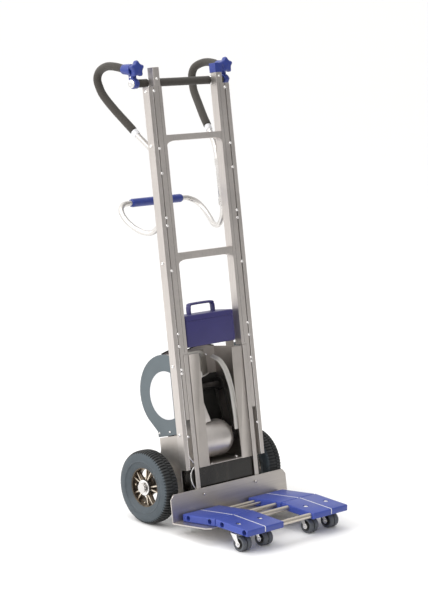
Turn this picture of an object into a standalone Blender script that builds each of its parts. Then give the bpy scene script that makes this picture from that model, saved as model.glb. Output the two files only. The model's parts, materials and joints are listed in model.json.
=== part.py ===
"""Stair climbing trolley: an upright aluminium hand truck with a powered climbing drive.

Metres, +Z up, load side towards -Y, handles towards +Y. "Left" is the -X side, "right" the +X side.
The truck stands on two main wheels and the four casters of a folding deck that lies on its toe plate.
The frame is modelled upright in its own space, whose origin is the main wheels' axis, and is then
leaned back by the empty "frame_lean". The origin of the world is on the floor under the truck.
"""
import math

import bmesh
import bpy
from mathutils import Euler, Matrix, Vector

# ---- driving dimensions ----------------------------------------------------------------------
GAP = 0.0003                      # clearance between touching pieces
CENTRE_Y = 0.0655                 # world y of the main axle
LEAN = math.radians(10.1)         # rails lean back from the vertical
DECK_TILT = math.radians(7.6)     # rise of the toe plate's floor towards its front edge

WHEEL_RADIUS = 0.125
WHEEL_INNER = 0.207               # x of the tyre's inner side
WHEEL_OUTER = 0.273               # x of the tyre's outer side
RIM_RADIUS = 0.0755
HUB_RADIUS = 0.0275
AXLE_RADIUS = 0.010

RAIL_IN = 0.1245                  # inner face of a rail
RAIL_OUT = 0.1815                 # outer face of a rail
RAIL_FRONT = -0.1310
RAIL_BACK = -0.0997
RAIL_TOP = 1.327
RAIL_BOTTOM = 0.048
RAIL_WALL = 0.0022
GROOVE_LOW = 0.1602               # screw groove in the rail's front face
GROOVE_HIGH = 0.1642
GROOVE_DEPTH = 0.006
POST_SLOT_HIGH = 0.1548           # the chamber that the telescopic post slides in
DRIVE_TOP = 0.430                 # top of the drive housing, where the rails change section
SLOT_TOP = 0.215                  # top of the open slot beside each carrier bar

POST_TOP = 1.390
POST_BOTTOM = 1.080

STRUT_LEVELS = {"lower": (0.732, 0.7716), "upper": (1.129, 1.1646)}
STRUT_BACK = -0.107

BAR_Y = -0.0855                   # top crossbar
BAR_Z = 1.342
BAR_HALF = 0.2135
BAR_TUBE_RADIUS = 0.0105
GRIP_RADIUS = 0.0138
HOOP_TUBE_RADIUS = 0.0095
KNOB_X = 0.2005

SHAFT_Y = -0.018                  # climbing crankshaft
SHAFT_Z = 0.300
CRANK_RADIUS = 0.066
LEG_LENGTH = 0.406
CLIMBER_RADIUS = 0.028

BATTERY_LOW = 0.451
BATTERY_HIGH = 0.558

MOTOR_Y = -0.057                  # the motor lies across the housing
MOTOR_Z = 0.126
MOTOR_RADIUS = 0.063
SPROCKET_X = (0.0985, 0.1065)     # chain between the motor's sprocket and the crankshaft's

TOE_HALF = 0.267
TOE_THICK = 0.004
TOE_FRONT = -0.137                # front face of the toe plate's wall
TOE_CORNER_Z = -0.1118            # inside corner between wall and floor
TOE_WALL_TOP = -0.019
TOE_DEPTH = 0.172

PAD_IN = 0.068
PAD_OUT = 0.233
PAD_REAR_START = 0.010
PAD_REAR_END = 0.167
PAD_THICK = 0.0255
PAD_BOTTOM = 0.063
PAD_FRONT_THICK = 0.0215
PAD_FRONT_LENGTH = 0.1515

CASTER_X = (0.1067, 0.2025)
CASTER_Y = -0.399                 # swivel axes, measured from the main axle
CASTER_TRAIL = 0.020
CASTER_RADIUS = 0.025

SIDES = (("left", -1), ("right", 1))

# ---- scene, collections and materials --------------------------------------------------------
for old in list(bpy.data.objects):
    bpy.data.objects.remove(old, do_unlink=True)
scene = bpy.context.scene
parts = bpy.data.collections.new("stair_climbing_trolley")
cutters = bpy.data.collections.new("cutters")
scene.collection.children.link(parts)
scene.collection.children.link(cutters)


def material(name, colour, roughness, metallic):
    """Principled material with one plain colour."""
    made = bpy.data.materials.new(name)
    made.use_nodes = True
    shader = made.node_tree.nodes["Principled BSDF"]
    shader.inputs["Base Color"].default_value = (*colour, 1.0)
    shader.inputs["Roughness"].default_value = roughness
    shader.inputs["Metallic"].default_value = metallic
    return made


ALUMINIUM = material("aluminium", (0.60, 0.58, 0.56), 0.40, 1.0)
SHEET = material("sheet_aluminium", (0.50, 0.49, 0.47), 0.45, 1.0)
STEEL = material("steel", (0.62, 0.62, 0.62), 0.30, 1.0)
DARK_STEEL = material("dark_steel", (0.10, 0.10, 0.10), 0.45, 1.0)
BLACK = material("black_plastic", (0.020, 0.020, 0.022), 0.50, 0.0)
GREY = material("grey_plastic", (0.110, 0.135, 0.150), 0.50, 0.0)
CASTING = material("gear_casting", (0.16, 0.15, 0.14), 0.55, 0.8)
BLUE = material("blue_plastic", (0.045, 0.070, 0.350), 0.40, 0.0)
FOAM = material("foam", (0.028, 0.024, 0.020), 0.90, 0.0)
TYRE = material("tyre_rubber", (0.040, 0.048, 0.055), 0.75, 0.0)
BRONZE = material("rim_alloy", (0.34, 0.30, 0.26), 0.35, 1.0)
TREAD_GREY = material("caster_tread", (0.16, 0.17, 0.19), 0.60, 0.0)


def empty(name, location, rotation=(0, 0, 0), parent=None):
    """A guide frame that sub-parts are parented to."""
    made = bpy.data.objects.new(name, None)
    made.location = location
    made.rotation_euler = rotation
    made.parent = parent
    parts.objects.link(made)
    return made


def place(name, mesh, paint=None, parent=None, location=(0, 0, 0), rotation=(0, 0, 0)):
    """Link a mesh as a named part, or as a cutter when it has no material."""
    made = bpy.data.objects.new(name, mesh)
    made.parent = parent
    made.location = location
    made.rotation_euler = rotation
    if paint is None:
        cutters.objects.link(made)
        made.hide_render = True
        made.display_type = "WIRE"
    else:
        parts.objects.link(made)
        mesh.materials.append(paint)
    return made


def smooth(made, angle=35):
    """Shade smooth, with edges over the angle kept sharp."""
    made.data.shade_smooth()
    made.data.set_sharp_from_angle(angle=math.radians(angle))
    return made


def bevel(made, width, segments=2, angle=40):
    """Round the edges that are sharper than the angle."""
    step = made.modifiers.new("rounded_edges", "BEVEL")
    step.width = width
    step.segments = segments
    step.limit_method = "ANGLE"
    step.angle_limit = math.radians(angle)
    return made


def boolean(made, other, operation="DIFFERENCE"):
    """Cut a part by a cutter, or join the cutter's shape to it."""
    step = made.modifiers.new(operation.lower(), "BOOLEAN")
    step.operation = operation
    step.solver = "EXACT"
    step.object = other
    return made


def box(name, low, high, paint=None, parent=None, rounding=0.0):
    """Box between two corners, with its origin at its centre."""
    centre = [(a + b) / 2 for a, b in zip(low, high)]
    mesh = bpy.data.meshes.new(name)
    cage = bmesh.new()
    bmesh.ops.create_cube(cage, size=1.0)
    bmesh.ops.scale(cage, vec=[b - a for a, b in zip(low, high)], verts=cage.verts)
    cage.to_mesh(mesh)
    cage.free()
    made = place(name, mesh, paint, parent, centre)
    if rounding:
        bevel(made, rounding)
    return made


AXIS_TURN = {
    "X": Euler((0, math.pi / 2, 0)),
    "-X": Euler((0, -math.pi / 2, 0)),
    "Y": Euler((-math.pi / 2, 0, 0)),
    "-Y": Euler((math.pi / 2, 0, 0)),
    "Z": Euler((0, 0, 0)),
}


def cylinder(name, radius, length, centre, axis, paint=None, parent=None, sides=24):
    """Closed cylinder about one axis of its parent's space."""
    mesh = bpy.data.meshes.new(name)
    cage = bmesh.new()
    bmesh.ops.create_cone(cage, cap_ends=True, segments=sides, radius1=radius, radius2=radius, depth=length)
    cage.to_mesh(mesh)
    cage.free()
    return smooth(place(name, mesh, paint, parent, centre, AXIS_TURN[axis]))


def turned(name, profile, location, axis, paint=None, parent=None, steps=32, closed=False):
    """Turned piece: (radius, height) points run down the outer side from top to bottom."""
    mesh = bpy.data.meshes.new(name)
    points = [(radius, 0.0, height) for radius, height in profile]
    edges = [(i, i + 1) for i in range(len(points) - 1)]
    if closed:
        edges.append((len(points) - 1, 0))
    mesh.from_pydata(points, edges, [])
    made = place(name, mesh, paint, parent, location, AXIS_TURN[axis])
    screw = made.modifiers.new("turned", "SCREW")
    screw.axis = "Z"
    screw.steps = steps
    screw.render_steps = steps
    screw.use_merge_vertices = True
    screw.merge_threshold = 0.0001
    screw.use_smooth_shade = True
    return made


def curve_to_mesh(curve_object):
    """Swap a curve object for its welded mesh, so that it can be cut and joined."""
    bpy.context.view_layer.update()
    graph = bpy.context.evaluated_depsgraph_get()
    mesh = bpy.data.meshes.new_from_object(curve_object.evaluated_get(graph))
    cage = bmesh.new()
    cage.from_mesh(mesh)
    bmesh.ops.remove_doubles(cage, verts=cage.verts, dist=0.00001)
    cage.to_mesh(mesh)
    cage.free()
    bpy.data.objects.remove(curve_object, do_unlink=True)
    return mesh


def flat_mesh(name, outlines, thickness):
    """Flat piece: the first outline is its edge and the others are holes."""
    curve = bpy.data.curves.new(name, "CURVE")
    curve.dimensions = "2D"
    curve.fill_mode = "BOTH"
    curve.extrude = thickness / 2
    for outline in outlines:
        spline = curve.splines.new("POLY")
        spline.points.add(len(outline) - 1)
        for point, (x, y) in zip(spline.points, outline):
            point.co = (x, y, 0.0, 1.0)
        spline.use_cyclic_u = True
    temporary = bpy.data.objects.new(name, curve)
    parts.objects.link(temporary)
    return curve_to_mesh(temporary)


SIDE_VIEW = Matrix(((0, 0, 1), (1, 0, 0), (0, 1, 0))).to_euler()    # outline (y, z), thickness in x
FRONT_VIEW = Euler((math.pi / 2, 0, 0))                              # outline (x, z), thickness in y
PLAN_VIEW = Euler((0, 0, 0))                                         # outline (x, y), thickness in z


def flat(name, outlines, thickness, location, view, paint=None, parent=None):
    """Flat piece in a side, front or plan view, centred on its location across its thickness."""
    return place(name, flat_mesh(name, outlines, thickness), paint, parent, location, view)


def smooth_path(route, per_span):
    """Points on a Catmull-Rom curve through the route."""
    points = [Vector(p) for p in route]
    padded = [points[0] * 2 - points[1]] + points + [points[-1] * 2 - points[-2]]
    path = []
    for i in range(len(points) - 1):
        a, b, c, d = padded[i:i + 4]
        for step in range(per_span):
            t = step / per_span
            path.append(0.5 * ((2 * b) + (c - a) * t + (2 * a - 5 * b + 4 * c - d) * t * t
                               + (3 * b - a - 3 * c + d) * t * t * t))
    path.append(points[-1])
    return path


def tube(name, path, radius, paint, parent, resolution=2):
    """Round bar or tube along a path."""
    curve = bpy.data.curves.new(name, "CURVE")
    curve.dimensions = "3D"
    curve.bevel_depth = radius
    curve.bevel_resolution = resolution
    curve.use_fill_caps = True
    spline = curve.splines.new("POLY")
    spline.points.add(len(path) - 1)
    for point, place_on_path in zip(spline.points, path):
        point.co = (*place_on_path, 1.0)
    temporary = bpy.data.objects.new(name, curve)
    parts.objects.link(temporary)
    return smooth(place(name, curve_to_mesh(temporary), paint, parent), 50)


def circle(radius, centre=(0, 0), count=24):
    """Round outline."""
    turn = [2 * math.pi * i / count for i in range(count)]
    return [(centre[0] + radius * math.cos(a), centre[1] + radius * math.sin(a)) for a in turn]


def arc(centre, radius, start, end, count):
    """Points of an arc between two angles in degrees."""
    angles = [math.radians(start + (end - start) * i / count) for i in range(count + 1)]
    return [(centre[0] + radius * math.cos(a), centre[1] + radius * math.sin(a)) for a in angles]


def rectangle(x0, y0, x1, y1):
    """Rectangular outline."""
    return [(x0, y0), (x1, y0), (x1, y1), (x0, y1)]


# ---- guide frames ------------------------------------------------------------------------------
axle = empty("axle_centre", (0, CENTRE_Y, WHEEL_RADIUS))
frame = empty("frame_lean", (0, 0, 0), (-LEAN, 0, 0), axle)
raised = empty("telescopic_handles", (0, 0, POST_TOP), (0, 0, 0), frame)
toe_corner = empty("toe_corner", (0, TOE_FRONT, TOE_CORNER_Z), (LEAN - DECK_TILT, 0, 0), frame)


# ---- rails, posts and struts -----------------------------------------------------------------
def rails():
    """Aluminium extrusions with a screw groove, cut back beside the drive housing."""
    for side, s in SIDES:
        front_edge = [
            (RAIL_IN, RAIL_FRONT), (GROOVE_LOW, RAIL_FRONT), (GROOVE_LOW, RAIL_FRONT + GROOVE_DEPTH),
            (GROOVE_HIGH, RAIL_FRONT + GROOVE_DEPTH), (GROOVE_HIGH, RAIL_FRONT), (RAIL_OUT, RAIL_FRONT),
        ]
        outline = front_edge + [(RAIL_OUT, RAIL_BACK), (RAIL_IN, RAIL_BACK)]
        post_chamber = rectangle(RAIL_IN + RAIL_WALL, RAIL_FRONT + RAIL_WALL, POST_SLOT_HIGH, RAIL_BACK - RAIL_WALL)
        thick = RAIL_WALL + 0.0003
        outer_chamber = rectangle(GROOVE_HIGH + thick, RAIL_FRONT + thick, RAIL_OUT - thick, RAIL_BACK - thick)
        section = [[(s * x, y) for x, y in loop] for loop in (outline, post_chamber, outer_chamber)]
        middle = (RAIL_BOTTOM + RAIL_TOP) / 2
        rail = flat(side + "_rail", section, RAIL_TOP - RAIL_BOTTOM, (0, 0, middle), PLAN_VIEW, ALUMINIUM, frame)
        inner_cut = s * 0.1456
        slot_cut = s * (GROOVE_HIGH - 0.0007)
        notch = [(s * 0.12, 0.0), (slot_cut, 0.0), (slot_cut, SLOT_TOP), (inner_cut, SLOT_TOP),
                 (inner_cut, DRIVE_TOP + 0.003), (s * 0.12, DRIVE_TOP + 0.003)]
        boolean(rail, flat(side + "_notch", [notch], 0.06, (0, -0.115, 0), FRONT_VIEW, None, frame))


def posts():
    """Square tubes that telescope in the rails and carry the top bar."""
    for side, s in SIDES:
        x0 = RAIL_IN + RAIL_WALL + GAP
        x1 = POST_SLOT_HIGH - GAP
        y0 = RAIL_FRONT + RAIL_WALL + GAP
        y1 = RAIL_BACK - RAIL_WALL - GAP
        wall = 0.0022
        outer = [(s * x, y) for x, y in rectangle(x0, y0, x1, y1)]
        inner = [(s * x, y) for x, y in rectangle(x0 + wall, y0 + wall, x1 - wall, y1 - wall)]
        centre = (0, 0, (POST_TOP + POST_BOTTOM) / 2 - POST_TOP)
        flat(side + "_post", (outer, inner), POST_TOP - POST_BOTTOM, centre, PLAN_VIEW, ALUMINIUM, raised)
    cap_low = (x0 - 0.0025, y0 - 0.0025, 0.0)
    cap = box("right_post_cap", (cap_low[0], cap_low[1], -0.026), (x1 + 0.0025, y1 + 0.0015, 0.006), BLUE, raised)
    boolean(cap, box("cap_socket", (x0 - GAP, y0 - GAP, -0.03), (x1 + GAP, y1 + GAP, GAP), None, raised))


def struts():
    """Cross struts with an arched underside."""
    for level, (bottom, top) in STRUT_LEVELS.items():
        half = RAIL_IN - GAP
        web = bottom + 0.015
        reach = 0.036
        rise = [(half - reach * (1 - math.cos(a)), web - (web - bottom) * (1 - math.sin(a)))
                for a in [math.radians(90 * i / 6) for i in range(7)]]
        right_side = [(half, top), (half, bottom)] + rise[1:]
        left_side = [(-x, z) for x, z in reversed(right_side)]
        depth = STRUT_BACK - RAIL_FRONT
        middle = (0, (STRUT_BACK + RAIL_FRONT) / 2 + GAP, 0)
        flat(level + "_strut", [right_side + left_side], depth, middle, FRONT_VIEW, ALUMINIUM, frame)


def carrier_bars():
    """Flat bars that hold the toe plate to the rails."""
    for side, s in SIDES:
        x0, x1 = sorted((s * 0.1262, s * 0.1443))
        front = TOE_FRONT + TOE_THICK + GAP
        box(side + "_carrier_bar", (x0, front, -0.060), (x1, front + 0.006, DRIVE_TOP + 0.002), ALUMINIUM, frame,
            0.0012)


# ---- top bar, hoop handles and rear bow -------------------------------------------------------
def top_bar():
    """Crossbar behind the posts: a steel tube with end caps, two bolt lugs and a foam sleeve."""
    cap = 0.0030
    profile = [(0, BAR_HALF + cap), (0.0143, BAR_HALF + cap), (0.0143, BAR_HALF), (BAR_TUBE_RADIUS, BAR_HALF)]
    profile += [(radius, -height) for radius, height in reversed(profile)]
    level = BAR_Z - POST_TOP
    bar = turned("top_bar", profile, (0, BAR_Y, level), "X", STEEL, raised, 16)
    sleeve_half = 0.1905
    sleeve = cylinder("top_bar_grip", GRIP_RADIUS, 2 * sleeve_half, (0, BAR_Y, level), "X", FOAM, raised, 20)
    bore = cylinder("grip_bore", BAR_TUBE_RADIUS + GAP, 0.4, (0, BAR_Y, level), "X", None, raised, 16)
    boolean(sleeve, bore)
    post_back = RAIL_BACK - RAIL_WALL
    for side, s in SIDES:
        x = s * (RAIL_IN + POST_SLOT_HIGH) / 2
        reach = BAR_Y - post_back
        lug_centre = (x, post_back + reach / 2, level)
        boolean(bar, cylinder(side + "_lug", 0.006, reach, lug_centre, "Y", None, raised, 12), "UNION")
        boolean(sleeve, cylinder(side + "_lug_hole", 0.0064, reach, lug_centre, "Y", None, raised, 12))


HOOP_ROUTE = (
    (0.2100, -0.0820, 1.3885), (0.2120, -0.0600, 1.3920), (0.2190, -0.0200, 1.4050), (0.2200, 0.0250, 1.4110),
    (0.2160, 0.0680, 1.4010), (0.2150, 0.0870, 1.3780), (0.2120, 0.0860, 1.3510), (0.2050, 0.0750, 1.3170),
    (0.1920, 0.0420, 1.2680), (0.1790, 0.0120, 1.2280), (0.1680, -0.0180, 1.1900),
)
HOOP_TAIL = (
    (0.1680, -0.0180, 1.1900), (0.1580, -0.0420, 1.1590), (0.1470, -0.0650, 1.1300), (0.1375, -0.0830, 1.0980),
    (0.1345, -0.0890, 1.0600), (0.1340, -0.0893, 1.0100), (0.1340, -0.0893, 0.9300),
)


def hoops():
    """Side handles: a foam grip from the top bar's clamp, then a tube down the back of the rail."""
    for side, s in SIDES:
        grip = [(s * x, y, z - POST_TOP) for x, y, z in HOOP_ROUTE]
        tail = [(s * x, y, z - POST_TOP) for x, y, z in HOOP_TAIL]
        start = Vector(tail[0]) + (Vector(tail[1]) - Vector(tail[0])).normalized() * GAP
        tube(side + "_hoop_grip", smooth_path(grip, 2), GRIP_RADIUS, FOAM, raised)
        tube(side + "_hoop_tube", smooth_path([start] + tail[1:], 2), HOOP_TUBE_RADIUS, STEEL, raised)


def handle_joints():
    """Clamp blocks between the top bar's ends and the hoops, each with a star knob in front."""
    for side, s in SIDES:
        bar_level = BAR_Z - POST_TOP
        hoop_level = 1.3885 - POST_TOP
        x0, x1 = sorted((s * 0.1930, s * 0.2130))
        block = box(side + "_handle_joint", (x0, -0.0900, bar_level - 0.004), (x1, -0.0690, hoop_level + 0.008),
                    BLUE, raised)
        ring = cylinder(side + "_bar_ring", 0.0175, 0.0202, (s * 0.2030, BAR_Y, bar_level), "X", None, raised)
        collar = cylinder(side + "_hoop_collar", 0.0185, 0.0404, (s * 0.2100, -0.0700, hoop_level), "Y", None, raised)
        boolean(block, ring, "UNION")
        boolean(block, collar, "UNION")
        bar_bore = cylinder(side + "_bar_bore", BAR_TUBE_RADIUS + GAP, 0.06, (s * 0.2, BAR_Y, bar_level), "X",
                            None, raised)
        boolean(block, bar_bore)
        grip = [(s * x, y, z - POST_TOP) for x, y, z in HOOP_ROUTE[:3]]
        hoop_bore = tube(side + "_hoop_bore", smooth_path(grip, 2), GRIP_RADIUS + GAP, BLUE, raised)
        parts.objects.unlink(hoop_bore)
        cutters.objects.link(hoop_bore)
        hoop_bore.hide_render = True
        hoop_bore.display_type = "WIRE"
        boolean(block, hoop_bore)
        stud_hole = cylinder(side + "_stud_hole", 0.0043, 0.0155, (s * KNOB_X, -0.09075, hoop_level), "Y", None,
                             raised, 12)
        boolean(block, stud_hole)
        star_knob(side, s)


def star_knob(side, s):
    """Five-lobed knob that turns about the frame's y direction."""
    count = 30
    outline = []
    for i in range(count):
        angle = 2 * math.pi * i / count
        radius = 0.0245 + 0.0035 * math.cos(5 * (angle - math.pi / 2))
        outline.append((radius * math.cos(angle), radius * math.sin(angle)))
    level = 1.3885 - POST_TOP
    knob = flat(side + "_clamp_knob", [outline], 0.020, (s * KNOB_X, -0.1015, level), FRONT_VIEW, BLUE, raised)
    bevel(knob, 0.003, 1, 60)
    stud = cylinder(side + "_knob_stud", 0.0040, 0.0135, (s * KNOB_X, -0.09025, level), "Y", None, raised, 12)
    boolean(knob, stud, "UNION")


BOW_ROUTE = (
    (0.1180, 0.0960, 0.9500), (0.1480, 0.0950, 0.9470), (0.1740, 0.0810, 0.9310), (0.1830, 0.0580, 0.9040),
    (0.1780, 0.0280, 0.8740), (0.1630, -0.0060, 0.8500), (0.1510, -0.0420, 0.8460), (0.1430, -0.0720, 0.8680),
    (0.1370, -0.0880, 0.9000), (0.1340, -0.0893, 0.9240),
)


def rear_bow():
    """Bow handle behind the rails, for steadying the load, with a plastic grip."""
    right_half = smooth_path(BOW_ROUTE, 2)
    left_half = [Vector((-p.x, p.y, p.z)) for p in reversed(right_half)]
    tube("bow_tube", left_half + right_half, 0.0092, STEEL, frame)
    grip = cylinder("bow_grip", 0.0145, 0.228, (0, 0.096, 0.950), "X", BLUE, frame, 20)
    boolean(grip, cylinder("bow_bore", 0.0092 + 2 * GAP, 0.3, (0, 0.096, 0.950), "X", None, frame, 20))


# ---- drive -----------------------------------------------------------------------------------
def drive_housing():
    """Open-fronted sheet housing with front flanges, a floor and two ledges that carry the battery."""
    half = 0.1220
    sheet = 0.003
    lip = 0.075
    back = 0.010
    outer = [(-lip, RAIL_FRONT), (-half, RAIL_FRONT), (-half, back), (half, back), (half, RAIL_FRONT), (lip, RAIL_FRONT)]
    inner = [(lip, RAIL_FRONT + sheet), (half - sheet, RAIL_FRONT + sheet), (half - sheet, back - sheet),
             (-half + sheet, back - sheet), (-half + sheet, RAIL_FRONT + sheet), (-lip, RAIL_FRONT + sheet)]
    height = DRIVE_TOP - RAIL_BOTTOM
    middle = (DRIVE_TOP + RAIL_BOTTOM) / 2
    housing = flat("drive_housing", [outer + inner], height, (0, 0, middle), PLAN_VIEW, SHEET, frame)
    floor_low = (-half + 0.0015, RAIL_FRONT + 0.0012, RAIL_BOTTOM + 0.0008)
    floor_high = (half - 0.0015, back - 0.0015, RAIL_BOTTOM + 0.0038)
    boolean(housing, box("housing_floor", floor_low, floor_high, None, frame), "UNION")
    wide = half - 0.0012
    crest = [(-wide, DRIVE_TOP - 0.02), (wide, DRIVE_TOP - 0.02)]
    for i in range(17):
        x = wide - 2 * wide * i / 16
        crest.append((x, DRIVE_TOP + 0.001 + 0.010 * abs(math.sin(math.pi * x / wide))))
    back_plate = flat("housing_crest", [crest], sheet - 0.0008, (0, back - sheet / 2, 0), FRONT_VIEW, None, frame)
    boolean(housing, back_plate, "UNION")
    ledge_top = BATTERY_LOW - GAP
    for side, s in SIDES:
        x0, x1 = sorted((s * 0.1198, s * 0.1212))
        tab = box(side + "_ledge_tab", (x0, -0.0950, DRIVE_TOP - 0.020), (x1, -0.0550, ledge_top - 0.0008), None, frame)
        x0, x1 = sorted((s * 0.1010, s * 0.1207))
        ledge = box(side + "_ledge", (x0, -0.0945, ledge_top - 0.0025), (x1, -0.0555, ledge_top), None, frame)
        boolean(housing, tab, "UNION")
        boolean(housing, ledge, "UNION")
    boolean(housing, cylinder("shaft_holes", 0.0115, 0.3, (0, SHAFT_Y, SHAFT_Z), "X", None, frame, 20))


def motor():
    """Motor with its gearhead across the bottom of the housing, and the sprocket on its shaft."""
    shaft = 0.0080
    profile = [(0, 0.0880), (0.0200, 0.0872), (0.0350, 0.0840), (0.0470, 0.0775), (0.0555, 0.0680),
               (0.0605, 0.0560), (MOTOR_RADIUS, 0.0400), (MOTOR_RADIUS, -0.0780), (0.0590, -0.0860), (0.030, -0.0920),
               (0, -0.0920)]
    can = turned("motor", profile, (0, MOTOR_Y, MOTOR_Z), "X", ALUMINIUM, frame, 32)
    boolean(can, cylinder("motor_bore", shaft + GAP, 0.040, (0.0800, MOTOR_Y, MOTOR_Z), "X", None, frame, 20))
    near, far = SPROCKET_X
    profile = [(0, far + 0.0025), (shaft, far + 0.0025), (shaft, far + 0.0005), (0.0180, far), (0.0180, near),
               (shaft, near - 0.0005), (shaft, 0.0620), (0, 0.0620)]
    turned("drive_sprocket", profile, (0, MOTOR_Y, MOTOR_Z), "X", DARK_STEEL, frame, 20)


def upper_casting():
    """Hollow casting above the crankshaft; its front falls back towards the right."""
    face = [(-0.1165, -0.0980), (-0.0790, -0.1040), (-0.0450, -0.0950), (-0.0100, -0.0740), (0.0220, -0.0500),
            (0.0500, -0.0260), (0.0700, 0.0035)]
    outline = smooth_path([(x, y, 0) for x, y in face], 2)
    outer = [(p.x, p.y) for p in outline] + [(0.0690, 0.0062), (-0.1168, 0.0060)]
    inner = [(-0.1110, -0.0925), (-0.0790, -0.0970), (-0.0480, -0.0890), (-0.0140, -0.0685), (0.0170, -0.0450),
             (0.0440, -0.0220), (0.0590, 0.0000), (-0.1108, -0.0003)]
    casting = flat("upper_casting", [outer], 0.0810, (0, 0, 0.3840), PLAN_VIEW, CASTING, frame)
    pocket = flat("casting_pocket", [inner], 0.0900, (0, 0, 0.3730), PLAN_VIEW, None, frame)
    boolean(casting, pocket)


def crankshaft():
    """Shaft with the chain's large sprocket, and a crank and pin at each end."""
    shaft = 0.0105
    near, far = SPROCKET_X
    profile = [(0, 0.1270), (shaft, 0.1270), (shaft, far + 0.001), (0.0215, far), (0.0215, near),
               (shaft, near - 0.001), (shaft, -0.1270), (0, -0.1270)]
    made = turned("crankshaft", profile, (0, SHAFT_Y, SHAFT_Z), "X", DARK_STEEL, frame, 20)
    for side, s in SIDES:
        web = arc((0, 0), 0.017, 180, 360, 8) + arc((0, CRANK_RADIUS), 0.0120, 0, 180, 8)
        crank = flat(side + "_crank_web", [web], 0.0060, (s * 0.1285, SHAFT_Y, SHAFT_Z), SIDE_VIEW, None, frame)
        pin_centre = (s * 0.1370, SHAFT_Y, SHAFT_Z + CRANK_RADIUS)
        pin = cylinder(side + "_crank_pin", 0.0060, 0.0150, pin_centre, "X", None, frame, 16)
        boolean(made, crank, "UNION")
        boolean(made, pin, "UNION")


def climbing_legs():
    """Legs that hang on the crank pins, each with a climbing wheel at its foot."""
    for side, s in SIDES:
        top = SHAFT_Z + CRANK_RADIUS
        outline = arc((0, -LEG_LENGTH), 0.0115, 180, 360, 8) + arc((0, 0), 0.0115, 0, 180, 8)
        hole = circle(0.0063, (0, 0), 16)
        leg = flat(side + "_climbing_leg", [outline, hole], 0.0080, (s * 0.1365, SHAFT_Y, top), SIDE_VIEW,
                   DARK_STEEL, frame)
        pin_centre = (s * 0.1535, SHAFT_Y, top - LEG_LENGTH)
        boolean(leg, cylinder(side + "_foot_pin", 0.0060, 0.0300, pin_centre, "X", None, frame, 16), "UNION")
        inner = 0.1420
        outer = 0.1660
        middle = (inner + outer) / 2
        half = (outer - inner) / 2
        profile = [(CLIMBER_RADIUS - 0.003, half), (CLIMBER_RADIUS, half - 0.004), (CLIMBER_RADIUS, -half + 0.004),
                   (CLIMBER_RADIUS - 0.003, -half), (0.0064, -half), (0.0064, half)]
        turned(side + "_climbing_wheel", profile, (s * middle, SHAFT_Y, top - LEG_LENGTH), "X", TYRE, frame, 20, True)


def covers():
    """Round drive covers, the side plates under them and the black lower cover."""
    centre = (-0.065, 0.303)
    radius = 0.135
    back_edge = RAIL_BACK + GAP
    start = math.degrees(math.acos((back_edge - centre[0]) / radius))
    rim = arc(centre, radius, start, -38, 20)
    tab = [(-0.0020, 0.1770), (-0.0040, 0.1570), (back_edge, 0.1680)]
    for side, s in SIDES:
        outline = rim + tab
        cover = flat(side + "_drive_cover", [outline], 0.0060, (s * 0.1775, 0, 0), SIDE_VIEW, GREY, frame)
        bevel(cover, 0.0015, 1, 60)
        plate = [(back_edge, 0.1655), (-0.0075, 0.1545), (-0.0085, 0.1150), (0.0180, 0.0500)]
        plate += arc((0, 0), 0.034, 40, -90, 8) + [(back_edge, -0.040)]
        shaft_hole = circle(0.0082, (0, 0), 20)
        flat(side + "_side_plate", [plate, shaft_hole], 0.0040, (s * 0.1775, 0, 0), SIDE_VIEW, SHEET, frame)
    shell = box("lower_cover", (-0.1210, -0.1220, -0.1000), (0.1210, 0.0080, 0.0475), BLACK, frame)
    boolean(shell, box("cover_wings", (-0.1600, -0.1240, -0.0990), (0.1600, -0.1195, 0.0465), None, frame), "UNION")
    boolean(shell, box("cover_space", (-0.1180, -0.1190, -0.0970), (0.1180, 0.0200, 0.0600), None, frame))


def battery():
    """Battery pack with a carry handle, standing on the ledges above the drive housing."""
    pack = box("battery", (-0.1100, -0.1200, BATTERY_LOW), (0.1100, -0.0360, BATTERY_HIGH), BLUE, frame)
    arch = [(-0.066, -0.004), (-0.066, 0.028), (-0.057, 0.038), (0.055, 0.038), (0.064, 0.028), (0.064, -0.004),
            (0.034, -0.004), (0.034, 0.026), (0.030, 0.030), (-0.038, 0.030), (-0.042, 0.026), (-0.042, -0.004)]
    carry = flat("carry_handle", [arch], 0.024, (0, -0.078, BATTERY_HIGH), FRONT_VIEW, None, frame)
    bevel(pack, 0.003, 2, 60)
    boolean(pack, carry, "UNION")


# ---- wheels ------------------------------------------------------------------------------------
def window(inner, outer, start, end, count):
    """Opening between two spokes, between two radii and two angles in degrees."""
    return arc((0, 0), outer, start, end, count) + arc((0, 0), inner, end - 1.0, start + 1.0, 1)


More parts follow.
